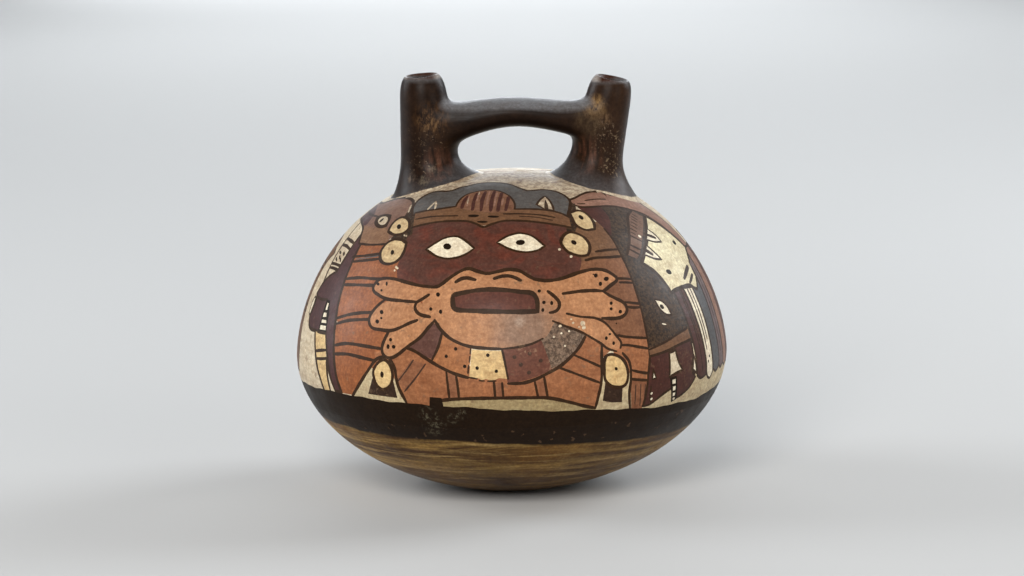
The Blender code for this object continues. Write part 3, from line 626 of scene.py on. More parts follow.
area("disc cream", "front", [(20.1, 57), (20.8, 59.8), (22.6, 61.7), (24.4, 61.9), (27.4, 60.7),
    (30.2, 58.4), (31.9, 55.4), (32, 52.6), (31, 50.5, 1), (28.8, 50.2), (25.8, 51), (22.4, 53)],
    1.3)
spot("front", (25.4, 56.8), 1.9, 2.8, 42)
spots("front", 1.2, (-47.2, 45.4), (19.4, 54), (24, 50.4), slip="cream")
spots("front", 0.9, (-47.9, 44), (-46.5, 45), (-44.4, 60.1), (-43.4, 60), slip="cream")
line("front", [(-44.3, 76.6), (-44.6, 72.4)], 0.9, "cream")

# The mouth mask: a light orange plate over the jaw with three dotted whiskers on each side, two
# nostril arcs and a wide dark mouth in a thick black line.
area("light orange", "front", [(-30, 38.2, 1), (-25, 41.2), (-20, 44.2), (-15.8, 45.7),
    (-12.4, 44.7), (-9, 43.8), (-4.6, 44.5), (-1, 45.4), (3.2, 44.7), (8, 41.4), (14, 40),
    (20, 40.6, 1), (23, 30, 1), (21.6, 26.6, 1), (16.6, 23.6), (14.4, 19.8), (11.6, 17.2),
    (6, 15.6), (0, 14.8), (-8, 14.6), (-16, 15.5), (-23, 18.1), (-27.6, 22), (-29.8, 25, 1),
    (-34, 27), (-34, 36)])
area("light orange", "front", [(-29, 38.4, 1), (-36, 38.5), (-42, 39.4), (-49, 40), (-54.6, 39.2),
    (-57.8, 36.6), (-58, 35, 1), (-55, 33.5), (-51, 32.4), (-45, 32), (-37, 31.8, 1)])
area("light orange", "front", [(-36, 32, 1), (-45, 31.6), (-51.4, 31), (-55, 28.8), (-58.4, 25.6),
    (-59.4, 23), (-58.2, 20.8), (-54, 20.3), (-49.4, 20.3), (-45, 21.6), (-37, 25, 1),
    (-30, 27, 1)])
area("light orange", "front", [(-38.4, 27.4), (-29, 29), (-28.6, 23.6), (-38.4, 24.4)],
    straight=True)
area("light orange", "front", [(-36, 25, 1), (-42, 22.6), (-49.6, 19.8, 1), (-51.4, 16.4),
    (-52.6, 13), (-52, 10.8), (-49.5, 9.9), (-46, 11.3), (-41, 15), (-36, 18.6), (-29.6, 25, 1)])
area("light orange", "front", [(8, 41.3, 1), (14, 40.1), (20, 40.7), (27, 42.6), (33, 43.4),
    (38, 42.5), (42.4, 39.4), (43, 38.6, 1), (40, 36.4), (37, 34.8, 1), (28, 35.2), (18, 34.6, 1)])
area("light orange", "front", [(18, 35, 1), (28, 35), (37, 34.2), (41, 31.6), (45.2, 28.6),
    (46.4, 26.2), (45, 24.2, 1), (40, 23.8), (34, 24.4), (27, 25.4), (17, 25, 1)])
area("light orange", "front", [(16, 24.4, 1), (22, 26.4), (28, 25.2), (33, 24.2), (37, 21.6),
    (40.4, 18), (43.2, 14.6), (43.4, 12.4), (41.4, 11.3), (38, 12.4), (34, 15.2), (28, 18.9),
    (21, 22.1)])
lines("front", 1.5, [(-31, 38), (-28, 38.7), (-24, 41.8), (-20, 44.7), (-16, 46.4), (-12.6, 45.3),
    (-9, 44.3), (-5, 45), (-1, 45.9), (3.4, 45.3), (6.6, 43.2), (9.6, 41.3)], [(9, 41.5),
    (14, 40.6), (20, 41.2), (27, 43.2), (33, 44), (38, 43.1), (42, 40.6), (43.4, 38.8),
    (40.4, 36.7), (37, 34.6)])
lines("front", 1.4, [(-30, 38.2), (-36, 38.5), (-42, 39.5), (-48.6, 40.5), (-54.8, 39.8),
    (-58, 37.2), (-58.4, 35), (-55.6, 33.4), (-51.4, 32.1), (-45, 31.9), (-37.6, 31.8)],
    [(-52, 31.7), (-55.2, 29.4), (-58.8, 25.8), (-59.9, 22.8), (-58.4, 20.4), (-54, 19.9),
    (-49, 19.9), (-44.8, 21.3), (-40.4, 23.4), (-37.2, 24.6)], [(-49.8, 19.6), (-51.8, 16.4),
    (-53.1, 13), (-52.4, 10.4), (-49.5, 9.4), (-46, 10.8), (-41, 14.5), (-36, 18), (-32.4, 22),
    (-29.7, 24.9)], [(-32.2, 34.9), (-35.4, 32.8), (-37.7, 31.2), (-37.9, 28.8), (-36, 27),
    (-31.8, 26.2)], [(20.2, 34.9), (27, 35.4), (33, 35.2), (37, 34.6)], [(37, 34.4), (39, 33),
    (42, 31.3), (46, 28.9), (47.2, 26.2), (45.6, 24.1), (42, 23.4), (36, 24)], [(14.3, 36.2),
    (16.6, 34.2), (18.6, 31.6), (18.5, 29.4), (17, 28), (14.9, 27.6)])
lines("front", 1.0, [(21.5, 26.9), (27, 25.3), (33, 24.3), (37, 22.2), (39.6, 19.4), (42, 16.4),
    (43.9, 13.8), (43.4, 11.9)], [(16, 24.3), (21, 22), (27, 19.4), (31, 17), (35, 14.4),
    (38, 12.1), (41.6, 10.8)])
lines("front", 1.3, [(-29.8, 25.1), (-27.5, 21.6), (-23.4, 18), (-17, 15.4), (-10, 14.5),
    (-3.6, 14.2)])
lines("front", 1.6, [(-21, 40.6), (-19, 41.9), (-16.6, 42.4), (-13.4, 41.6)], [(-6, 42.2),
    (-3, 43.1), (0.4, 43), (3.9, 41.2)])
lines("front", 0.9, [(-3.6, 14.2), (3, 14.9), (8, 16), (12, 17.8)])
area("mouth red", "front", [(-21.4, 35.4), (-15, 36.9), (-9, 37.6), (-2, 37.3), (4, 36.4),
    (8.4, 35.6), (10, 33), (10.2, 28.4, 1), (4, 28.4), (-6, 28.7), (-15, 29), (-20.6, 29.3),
    (-22, 30.2), (-22.4, 33), (-22.2, 34.9)], 1.9)
# each dot's place, width and height
WHISKER_DOTS = (
    (-51.5, 38.2, 1.1, 1.8), (-54, 35.3, 1.2, 1.0), (-56, 37.7, 1.6, 1.3), (-53.5, 26.7, 1.9, 1.7),
    (-53.6, 24.4, 1.1, 1.0), (-55.6, 22.9, 1.9, 1.7), (-49, 16.4, 1.5, 1.5),
    (-50.2, 13.7, 1.5, 1.9), (-47.6, 13.8, 1.8, 1.5), (-28.3, 35.2, 1.7, 1.8),
    (-31.3, 29.3, 1.4, 1.5), (-27.3, 28.4, 1.4, 1.8), (34, 41.3, 1.7, 1.8), (38.5, 39.5, 2.3, 1.9),
    (35.8, 37.7, 1.6, 1.8), (40.1, 29.5, 1.4, 1.4), (40, 27.3, 1.3, 1.3), (44, 25.8, 1.7, 1.5),
    (37.4, 16.2, 1.3, 1.5), (39, 17.6, 1.2, 0.9), (40.5, 14, 1.2, 1.5), (11, 36.5, 1.4, 1.4),
    (12.7, 31.8, 1.4, 1.5), (15.7, 31.4, 1.2, 1.8), (12.2, 28.8, 1.2, 1.6), (42, 21.4, 0.7, 0.7),
    (33, 41.9, 0.8, 0.6))
for x, y, wide, high in WHISKER_DOTS:
    spot("front", (x, y), wide, high)
# where the slip has flaked off to the pale ground, right of the chin
FLAKES = ((27.8, 22.6, 2.0, 2.2), (28.2, 21, 1.6, 1.4), (23.9, 23.1, 1.1, 0.9),
          (23.2, 24.6, 0.8, 0.7), (18.7, 22.2, 1.3, 1.0), (26.2, 21.4, 0.7, 0.6))
for x, y, wide, high in FLAKES:
    spot("front", (x, y), wide, high, 20, slip="cream")
area("black", "front", [(-32.4, -4.6), (-27.6, -4.8), (-26.8, -8.6), (-32.6, -8.4)], straight=True)

# A thin brown line crosses the crown under the bridge. It is drawn straight on the wall as that is
# spread out flat, in millimetres from the crown's middle.
painted.append(("umber light", np.array([
    (-11.6, -0.3), (-7, 3.2), (1.6, 1.2), (12.6, 3.6), (15.4, 8.6), (15.9, 8.4), (13.2, 2.8),
    (1.6, 0.3), (-7, 2.2), (-11.4, -1.0)]), True))

# The black band round the widest part, laid last over the ends of the pictures. Its upper edge dips
# to the right, and below it the slip thins out to bare burnished clay.
# how far up the wall its upper edge is, at each turn in degrees from the front to the right
BAND_EDGE = ((-180, -10), (-120, -9), (-80, -8), (-54, -6.9), (-30, -7.7), (-12, -8.5), (7, -10.4),
             (25, -11.6), (40, -13.8), (60, -14.3), (75, -12.2), (92, -11), (130, -10.5),
             (180, -10))
PAINT_END = -18.0


def band_top(azimuth):
    """How far up the wall the black band reaches at an azimuth."""
    turn = np.degrees((azimuth + math.pi) % (2 * math.pi) - math.pi)
    edge = np.interp(turn, *zip(*BAND_EDGE))
    return edge + 0.18 * np.sin(azimuth * 23) + 0.12 * np.sin(azimuth * 57 + 1)


# The spouts and the bridge: two tapered tubes of clay luted over holes in the shoulder, with a
# thick strap bent between them, all smoothed into one form while wet. A cage is grown ring by ring
# and rounded off.
CAGE_SIDES = 8
CAGE_SWELL = 6 / (4 + 2 * math.cos(2 * math.pi / CAGE_SIDES))
CAGE_LEVELS = 3
FOOT_HEIGHT = 5.5
FOOT_RINGS = ((1.17, 0.0), (0.85, 0.055))
LIP_DIAMETER = 13.0
LIP_HEIGHT = 7.5
LIP_RINGS = ((-1.0, 0.0, 0.0), (-0.4, 0.25, 0.0), (0.1, 1.0, 0.10))
MOUTH_BORE = 8.7
FOOT_BORE = 13.0
BORE_DEPTHS = (2.0, 6.0, 20.0, 34.0)
BRIDGE = {"thickness": 10.7, "width": 23.0, "arch": 4.1, "root": 6.0}
STRAP_RINGS = {"inner reach": 0.21, "outer reach": 0.51, "inner rise": 0.50, "outer rise": 0.19,
               "inner fall": 0.515, "outer fall": 0.38}
ARRIS_CREASE = 0.25
BRIDGE_SLACK = 3.0
SAME_PLACE = 1e-3
LEFT = {"foot": -30.2, "rim": -33.2, "rise": 39.1, "stem": 23.0, "neck": 18.5, "flare": 6.2,
        "flare x": -28.1, "gap": 16.1, "haunch": 5.2, "inward": 1}
RIGHT = {"foot": 33.0, "rim": 41.8, "rise": 36.5, "stem": 20.8, "neck": 17.7, "flare": 7.6,
         "flare x": 34.0, "gap": 15.1, "haunch": 3.0, "inward": -1}
CROWN_HEIGHT = WIDEST_HEIGHT + SHOULDER_RISE
corner_turns = [2 * math.pi * (corner + 0.5) / CAGE_SIDES for corner in range(CAGE_SIDES)]


def spout_rings(spout):
    """The rings of a spout's cage, from its foot up over the lip and down its bore."""
    foot = Vector((spout["foot"], 0, height_on(OUTER, spout["foot"], 0)))
    rim = Vector((spout["rim"], 0, CROWN_HEIGHT + spout["rise"]))
    axis = (rim - foot).normalized()
    length = (rim - foot).length
    stem, neck, lip, mouth = spout["stem"] / 2, spout["neck"] / 2, LIP_DIAMETER / 2, MOUTH_BORE / 2

    def ring(along, radius, dip=0.0):
        across = Vector((axis.z, 0, -axis.x))
        return [foot + axis * along + CAGE_SWELL * radius
                * (across * math.cos(turn)
                   + Vector((0, math.sin(turn), dip * min(math.sin(turn), 0))))
                for turn in corner_turns]

    rings = []
    for outward, upward in FOOT_RINGS:
        radius = CAGE_SWELL * (stem + outward * spout["flare"])
        flat = [(spout["flare x"] + radius * math.cos(turn), radius * math.sin(turn))
                for turn in corner_turns]
        rings.append([Vector((x, y, height_on(OUTER, x, y) + upward * FOOT_HEIGHT))
                      for x, y in flat])
    rings.append(ring(FOOT_HEIGHT, stem))
    middle = CROWN_HEIGHT + spout["gap"] + BRIDGE["thickness"] / 2
    for level in (middle - BRIDGE["thickness"] / 2 - spout["haunch"],
                  middle + BRIDGE["thickness"] / 2):
        along = (level - foot.z) * length / (rim.z - foot.z)
        share = (along - FOOT_HEIGHT) / (length - LIP_HEIGHT - FOOT_HEIGHT)
        rings.append(ring(along, stem + (neck - stem) * share))
    for upward, inward, dip in LIP_RINGS:
        rings.append(ring(length + upward * LIP_HEIGHT, neck + (lip - neck) * inward, dip))
    rings.append(ring(length - 0.1 * LIP_HEIGHT, (lip + mouth) / 2, LIP_RINGS[-1][2]))
    for down in BORE_DEPTHS:
        rings.append(ring(length - down, mouth + (FOOT_BORE / 2 - mouth) * down / length))
    through = []
    for corner in ring(0, FOOT_BORE / 2):
        for _ in range(12):
            corner = corner - axis * (corner.z - height_on(INNER, corner.x, corner.y))
        through.append(corner)
    return rings + [through]


def edit(tool, **settings):
    """Use one of Blender's mesh tools on the object at hand."""
    bpy.ops.object.mode_set(mode="EDIT")
    tool(**settings)
    bpy.ops.object.mode_set(mode="OBJECT")


def choose(cage, vertices=(), faces=()):
    """Select these vertices or faces of the cage alone."""
    edit(bpy.ops.mesh.select_all, action="DESELECT")
    bpy.context.tool_settings.mesh_select_mode = (not faces, False, bool(faces))
    for index in vertices:
        cage.vertices[index].select = True
    for index in faces:
        cage.polygons[index].select = True


def raise_spout(spout):
    """A spout's cage, extruded ring by ring from a circle; its bore's faces carry slot 1."""
    rings = spout_rings(spout)
    bpy.context.tool_settings.mesh_select_mode = (True, False, False)
    bpy.ops.mesh.primitive_circle_add(vertices=CAGE_SIDES, radius=1)
    made = bpy.context.object
    cage = made.data
    order = sorted(range(CAGE_SIDES), key=lambda k: math.atan2(
        cage.vertices[k].co.y, cage.vertices[k].co.x) % (2 * math.pi))
    for level, ring in enumerate(rings):
        if level:
            edit(bpy.ops.mesh.extrude_region_move)
            fresh = [vertex.index for vertex in cage.vertices if vertex.select]
            order = [min(fresh, key=lambda k: (cage.vertices[k].co - cage.vertices[old].co).length)
                     for old in order]
        for index, point in zip(order, ring):
            cage.vertices[index].co = point
        if level == len(rings) - len(BORE_DEPTHS) - 2:
            outside = len(cage.polygons)
    for index in range(outside, len(cage.polygons)):
        cage.polygons[index].material_index = 1
    return made


def open_side(spout, made):
    """Take out the three faces of a spout's cage that look at the other spout, at the bridge."""
    low = CROWN_HEIGHT + spout["gap"] - spout["haunch"]
    high = CROWN_HEIGHT + spout["gap"] + BRIDGE["thickness"]
    looking = []
    for face in made.data.polygons:
        heights = [made.data.vertices[k].co.z for k in face.vertices]
        if (face.material_index == 0 and low - BRIDGE_SLACK < min(heights)
                and max(heights) < high + BRIDGE_SLACK):
            share = (face.center.z - height_on(OUTER, spout["foot"], 0)) / spout["rise"]
            axis = spout["foot"] + (spout["rim"] - spout["foot"]) * min(share, 1)
            turn = math.atan2(face.center.y, (face.center.x - axis) * spout["inward"])
            if abs(turn) < 1.5 * 2 * math.pi / CAGE_SIDES:
                looking.append(face.index)
    choose(made.data, faces=looking)
    edit(bpy.ops.mesh.delete, type="FACE")


def edge_uses(mesh):
    """How many faces of a mesh meet at each of its edges."""
    uses = {}
    for face in mesh.polygons:
        for key in face.edge_keys:
            uses[key] = uses.get(key, 0) + 1
    return uses


def span_bridge(cage):
    """Join the two open sides with a strap, and bend it with three rings across it."""
    low = min(LEFT["gap"] - LEFT["haunch"], RIGHT["gap"] - RIGHT["haunch"])
    low += CROWN_HEIGHT - BRIDGE_SLACK
    high = max(LEFT["gap"], RIGHT["gap"]) + BRIDGE["thickness"] + CROWN_HEIGHT + BRIDGE_SLACK
    rim = {index for key, count in edge_uses(cage).items() if count == 1 for index in key
           if low < cage.vertices[index].co.z < high}
    before = len(cage.polygons)
    choose(cage, vertices=rim)
    edit(bpy.ops.mesh.bridge_edge_loops)
    strap = {index for face in cage.polygons[before:] for index in face.vertices}
    start = max(cage.vertices[index].co.x for index in strap if cage.vertices[index].co.x < 0)
    end = min(cage.vertices[index].co.x for index in strap if cage.vertices[index].co.x > 0)
    root = BRIDGE["root"] / (end - start)
    rings = ((root, LEFT["haunch"] / 2), (0.5, 0), (1 - root, RIGHT["haunch"] / 2))
    arris = []
    for share, haunch in rings:
        x = start + share * (end - start)
        choose(cage, faces=[face.index for face in cage.polygons if face.center.z > low
                            and min(cage.vertices[k].co.x for k in face.vertices) < x
                            < max(cage.vertices[k].co.x for k in face.vertices)])
        edit(bpy.ops.mesh.bisect, plane_co=(x, 0, 0), plane_no=(1, 0, 0))
        ring = [vertex for vertex in cage.vertices
                if abs(vertex.co.x - x) < SAME_PLACE and vertex.co.z > low]
        height = sum(vertex.co.z for vertex in ring) / len(ring)
        inner = sum(abs(vertex.co.y) for vertex in ring) / len(ring)
        level = (1 - share) * LEFT["gap"] + share * RIGHT["gap"]
        level += 4 * share * (1 - share) * BRIDGE["arch"]
        level += CROWN_HEIGHT + BRIDGE["thickness"] / 2
        for vertex in ring:
            side = "outer" if abs(vertex.co.y) > inner else "inner"
            if vertex.co.z > height:
                vertex.co.z = level + STRAP_RINGS[side + " rise"] * BRIDGE["thickness"]
            else:
                vertex.co.z = level - STRAP_RINGS[side + " fall"] * BRIDGE["thickness"] - haunch
            vertex.co.y = math.copysign(STRAP_RINGS[side + " reach"] * BRIDGE["width"], vertex.co.y)
            if side == "outer" and vertex.co.z > level:
                arris.append(vertex.co.copy())
    choose(cage, vertices=[vertex.index for vertex in cage.vertices
                           if any((vertex.co - corner).length < SAME_PLACE for corner in arris)])
    edit(bpy.ops.transform.edge_crease, value=ARRIS_CREASE)


sides = []
for spout in (LEFT, RIGHT):
    made = raise_spout(spout)
    open_side(spout, made)
    sides.append(made)
bpy.ops.object.select_all(action="DESELECT")
for made in sides:
    made.select_set(True)
bpy.context.view_layer.objects.active = sides[0]
bpy.ops.object.join()
neck = bpy.context.object
span_bridge(neck.data)
edit(bpy.ops.mesh.select_all, action="SELECT")
edit(bpy.ops.mesh.normals_make_consistent, inside=False)
soften = neck.modifiers.new("Soften", "SUBSURF")
soften.levels = soften.render_levels = CAGE_LEVELS
bpy.ops.object.modifier_apply(modifier="Soften")

# The body's skins: the painted one is cut along every edge of the paint, so that each slip keeps
# its own faces. It is open under the spouts, whose feet and bores are set on the two skins here.
GRAIN = 3.0
SPACING = 0.32
SKIRT_SIDES = 192
INSIDE_SIDES = 96
BAND_SIDES = 460
CLEAR_OF_FOOT = 0.9
CUT_MERGE = 0.004
FOOT_REACH = 12
BOWL_STEP, FLOOR_STEP = 3.0, 6.0
WELD = 0.000005


def inside(points, loop):
    """Which points of the flat lie inside a closed loop, also one that crosses itself."""
    x, y = points[:, :1], points[:, 1:]
    x0, y0 = loop.T
    x1, y1 = np.roll(loop, -1, axis=0).T
    side = (x1 - x0) * (y - y0) - (x - x0) * (y1 - y0)
    rising = (y0 <= y) & (y1 > y) & (side > 0)
    falling = (y0 > y) & (y1 <= y) & (side < 0)
    return rising.sum(1) != falling.sum(1)


def cut_sheet(skin, low, sides, grain, holes, loops=()):
    """A skin over a height as triangles in the flat, cut along the loops and open at the holes."""
    crown = skin[0][-1]
    reach = crown - low
    turn = 2 * math.pi * np.arange(sides) / sides
    flat = [np.stack([reach * np.sin(turn), -reach * np.cos(turn)], 1), *holes]
    edges = []
    count = 0
    for loop in flat:
        edges += [(count + k, count + (k + 1) % len(loop)) for k in range(len(loop))]
        count += len(loop)
    for loop in loops:
        clear = np.full(len(loop), True)
        for hole in holes:
            far = np.linalg.norm(hole - hole.mean(0), axis=1).max() + CLEAR_OF_FOOT
            clear &= np.linalg.norm(loop - hole.mean(0), axis=1) > far
        number = count + np.cumsum(clear) - 1
        edges += [(int(number[k]), int(number[(k + 1) % len(loop)]))
                  for k in range(len(loop)) if clear[k] and clear[(k + 1) % len(loop)]]
        flat.append(loop[clear])
        count += int(clear.sum())
    taken = KDTree(count)
    for index, point in enumerate(np.concatenate(flat)):
        taken.insert((*point, 0), index)
    taken.balance()
    loose = [(0.0, 0.0)]
    rows = round(reach / grain)
    for row in range(1, rows):
        way = reach * row / rows
        radius = float(np.interp(crown - way, skin[0], skin[1]))
        around = max(6, round(2 * math.pi * radius / grain))
        for turn in 2 * math.pi * (np.arange(around) + row % 2 / 2) / around:
            loose.append((way * math.sin(turn), -way * math.cos(turn)))
    loose = [point for point in loose if taken.find((*point, 0))[2] > SPACING * grain]
    spots = [Vector(point) for point in np.concatenate([*flat, np.array(loose)])]
    cut = delaunay_2d_cdt(spots, edges, [], 0, CUT_MERGE, False)
    spots = np.array([tuple(point) for point in cut[0]])
    faces = np.array(cut[2])
    for hole in holes:
        faces = faces[~inside(spots[faces].mean(1), hole)]
    return spots, faces


def off_floor(skin, points):
    """Where points over the shoulder lie on a skin that is spread out flat."""
    shoulder = skin[0] >= 0
    up = np.interp(-np.hypot(points[:, 0], points[:, 1]), -skin[1][shoulder], skin[0][shoulder])
    azimuth = np.arctan2(points[:, 0], -points[:, 1])
    return np.stack([(skin[0][-1] - up) * np.sin(azimuth), (up - skin[0][-1]) * np.cos(azimuth)], 1)


def from_flat(skin, spots):
    """Points of a skin and the directions square to it, from where they lie when spread out."""
    azimuth = np.arctan2(spots[:, 0], -spots[:, 1])
    return skin_points(skin, azimuth, skin[0][-1] - np.hypot(spots[:, 0], spots[:, 1]))


def skin_points(skin, azimuth, up):
    """Points of a skin and the directions square to it."""
    slope = np.stack([np.gradient(skin[1], skin[0]), np.gradient(skin[2], skin[0])])
    out = np.interp(up, skin[0], slope[1])
    rise = -np.interp(up, skin[0], slope[0])
    square = np.stack([out * np.sin(azimuth), -out * np.cos(azimuth), rise], 1)
    return on_skin(skin, azimuth, up), square / np.linalg.norm(square, axis=1, keepdims=True)


def open_loops(mesh):
    """The open edges of a mesh as loops of vertex numbers, each in order."""
    beside = {}
    for (here, there), count in edge_uses(mesh).items():
        if count == 1:
            beside.setdefault(here, []).append(there)
            beside.setdefault(there, []).append(here)
    loops = []
    while beside:
        at = min(beside)
        loop = []
        while at in beside:
            loop.append(at)
            following = [item for item in beside.pop(at) if item in beside]
            at = following[0] if following else -1
        loops.append(loop)
    return loops


parts = {"points": [], "faces": [], "slips": [], "squares": [], "charts": []}
point_count = 0


def add(points, squares, faces, slips, chart):
    """Keep a part of the skin: its points, the directions square to it, its faces and slips."""
    global point_count
    parts["points"].append(points)
    parts["faces"] += [tuple(int(k) + point_count for k in face) for face in faces]
    parts["slips"] += list(slips)
    parts["squares"] += [squares[list(face)] for face in faces]
    parts["charts"] += [chart] * len(faces)
    point_count += len(points)


SLIPS = [*COATS, "bare clay", "inside clay", "spout slip"]
slip_number = {name: index for index, name in enumerate(SLIPS)}

feet, bores = [], []
for loop in open_loops(neck.data):
    spots = np.array([tuple(neck.data.vertices[index].co) for index in loop])
    skin = OUTER if spots[:, 1].max() > FOOT_REACH else INNER
    for index in loop:
        vertex = neck.data.vertices[index]
        vertex.co.z = height_on(skin, vertex.co.x, vertex.co.y)
    (feet if skin is OUTER else bores).append(off_floor(skin, spots))
points = np.array([tuple(vertex.co) for vertex in neck.data.vertices])
squares = np.zeros_like(points)
for index, chart in ((0, "neck"), (1, "bore")):
    faces = [tuple(face.vertices) for face in neck.data.polygons if face.material_index == index]
    slip = slip_number["spout slip" if chart == "neck" else "inside clay"]
    add(points, squares, faces, [slip] * len(faces), chart)
bpy.ops.object.delete()

band_turns = 2 * math.pi * np.arange(BAND_SIDES) / BAND_SIDES
band_edge = spread(band_turns, band_top(band_turns))
cuts = [band_edge] + [loop for slip, loop, cut in painted if cut]
spots, faces = cut_sheet(OUTER, PAINT_END, SKIRT_SIDES, GRAIN, feet, cuts)
middles = spots[faces].mean(1)
slips = np.full(len(faces), slip_number["cream"])
for slip, loop, cut in painted:
    low, high = loop.min(0), loop.max(0)
    near = np.nonzero(((middles >= low) & (middles <= high)).all(1))[0]
    near = near[inside(middles[near], loop)]
    slips[near] = slip_number[slip]
up = CROWN - np.hypot(middles[:, 0], middles[:, 1])
slips[up < band_top(np.arctan2(middles[:, 0], -middles[:, 1]))] = slip_number["black"]
add(*from_flat(OUTER, spots), faces, slips, "painted")

spots, faces = cut_sheet(INNER, PAINT_END, INSIDE_SIDES, 2 * GRAIN, bores)
points, squares = from_flat(INNER, spots)
add(points, -squares, faces[:, ::-1], [slip_number["inside clay"]] * len(faces), "inside")


def turned_bowl(skin, floor, columns, step, slip, chart, outward):
    """The skin under the painted sheet, turned in rings down to a flat floor, which closes it."""
    lowest = float(np.interp(floor, skin[2], skin[0]))
    rows = round((PAINT_END - lowest) / step)
    turn = 2 * math.pi * np.arange(columns) / columns
    rings = [skin_points(skin, turn, np.full(
        columns, PAINT_END + (lowest - PAINT_END) * row / rows)) for row in range(rows + 1)]
    points = np.concatenate([ring[0] for ring in rings])
    squares = np.concatenate([ring[1] for ring in rings])
    faces = []
    for row in range(rows):
        for k in range(columns):
            here, there = row * columns + k, row * columns + (k + 1) % columns
            faces.append((here, here + columns, there + columns, there)[::outward])
    add(points, squares * outward, faces, [slip_number[slip]] * len(faces), chart)
    rim = tuple(range(columns))[::-outward]
    flat = np.tile((0.0, 0.0, -1.0 * outward), (columns, 1))
    add(rings[-1][0], flat, [rim], [slip_number[slip]], chart)


turned_bowl(OUTER, 0.0, SKIRT_SIDES, BOWL_STEP, "bare clay", "bowl", 1)
turned_bowl(INNER, WALL, INSIDE_SIDES, FLOOR_STEP, "inside clay", "inside", -1)

mesh = bpy.data.meshes.new("bottle")
mesh.from_pydata(np.concatenate(parts["points"]) * MM, [], parts["faces"])
square = mesh.attributes.new("square", "FLOAT_VECTOR", "CORNER")
square.data.foreach_set("vector", np.concatenate(parts["squares"]).ravel())
mesh.polygons.foreach_set("material_index", parts["slips"])
CHARTS = ("painted", "neck", "bore", "bowl", "inside")
chart = mesh.attributes.new("chart", "INT", "FACE")
chart.data.foreach_set("value", [CHARTS.index(name) for name in parts["charts"]])
bottle = bpy.data.objects.new("bottle", mesh)
bpy.context.scene.collection.objects.link(bottle)
bpy.context.view_layer.objects.active = bottle
bottle.select_set(True)
edit(bpy.ops.mesh.select_all, action="SELECT")
edit(bpy.ops.mesh.remove_doubles, threshold=WELD)
edit(bpy.ops.mesh.delete_loose)

# The unrolled sheets on which the finish is kept: front and back of the painted shoulder as two
# long strips, the crown, bowl and inside as round ones, and the spouts opened out.
STRIP_TOP = 96.0
# a strip's first share across, its share for half a turn, and the same upward
FRONT_STRIP = (0.0, 1.0, 0.565, 0.43)
BACK_STRIP = (0.005, 0.61, 0.288, 0.267)
SPOUTS_SHARE, SPOUTS_AT = (0.355, 0.545), (0.640, 0.005)
# a round sheet's middle, its reach, and the way on the pot that fills it
ROUND_SHEETS = {"crown": (0.39, 0.155, 0.110, CROWN - STRIP_TOP + 4),
                "bowl": (0.140, 0.140, 0.138, 92.0), "inside": (0.565, 0.10, 0.06, 200.0)}
edit(bpy.ops.mesh.select_all, action="DESELECT")


def listed(items, name, width=1, kind=float):
    """The values of one property of many things of the mesh."""
    values = np.empty(len(items) * width, kind)
    items.foreach_get(name, values)
    return values.reshape(-1, width) if width > 1 else values


charts = listed(mesh.attributes["chart"].data, "value", kind=int)
mesh.uv_layers.new(name="OFBake")
NECK_CHARTS = (CHARTS.index("neck"), CHARTS.index("bore"))
mesh.polygons.foreach_set("select", np.isin(charts, NECK_CHARTS))
bpy.context.tool_settings.mesh_select_mode = (False, False, True)
edit(bpy.ops.uv.smart_project, angle_limit=math.radians(66), island_margin=0.004)
layer = mesh.uv_layers["OFBake"]
flat = listed(layer.data, "uv", 2)
sizes = listed(mesh.polygons, "loop_total", kind=int)
corner_face = np.repeat(np.arange(len(sizes)), sizes)
corner = listed(mesh.vertices, "co", 3)[listed(mesh.loops, "vertex_index", kind=int)] / MM
kind = charts[corner_face]


def middle_of_face(values):
    """For each corner, the mean of a value over the corners of its face."""
    return (np.bincount(corner_face, values) / sizes)[corner_face]


shoulder = OUTER[0] >= 0
radius = np.hypot(corner[:, 0], corner[:, 1])
up = np.where(corner[:, 2] > WIDEST_HEIGHT,
              np.interp(-radius, -OUTER[1][shoulder], OUTER[0][shoulder]),
              np.interp(corner[:, 2], OUTER[2][~shoulder], OUTER[0][~shoulder]))
azimuth = np.arctan2(corner[:, 0], -corner[:, 1])
behind = middle_of_face(corner[:, 1]) > 0
painted_corners = kind == CHARTS.index("painted")
strip = painted_corners & (middle_of_face(up) < STRIP_TOP)
turned_azimuth = np.where(behind, (azimuth % (2 * math.pi)) - math.pi, azimuth)
share = turned_azimuth / math.pi * 0.98 + 0.5
lift = (up - PAINT_END + 1) / (STRIP_TOP + 6 - PAINT_END)
for (x, wide, y, high), member in ((FRONT_STRIP, strip & ~behind), (BACK_STRIP, strip & behind)):
    flat[member] = np.stack([x + wide * share, y + high * lift], 1)[member]
for name, away, member in (("crown", CROWN - up, painted_corners & ~strip),
                           ("bowl", up - OUTER[0][0], kind == CHARTS.index("bowl")),
                           ("inside", corner[:, 2] + radius * 0.4, kind == CHARTS.index("inside"))):
    x, y, reach, far = ROUND_SHEETS[name]
    away = away / far * reach
    flat[member] = np.stack([x + away * np.sin(azimuth), y - away * np.cos(azimuth)], 1)[member]
spouts = np.isin(kind, NECK_CHARTS)
flat[spouts] = flat[spouts] * SPOUTS_SHARE + SPOUTS_AT
layer.data.foreach_set("uv", flat.ravel())
mesh.attributes.remove(mesh.attributes["chart"])

# The body's curve is true, so its light is worked out from the outline and not from the small
# faces; the spouts and the strap keep the light of their own soft mesh.
mesh.polygons.foreach_set("use_smooth", np.full(len(mesh.polygons), True))
squares = listed(mesh.attributes["square"].data, "vector", 3)
mesh.attributes.remove(mesh.attributes["square"])
mesh.normals_split_custom_set(squares.tolist())
mesh.update()

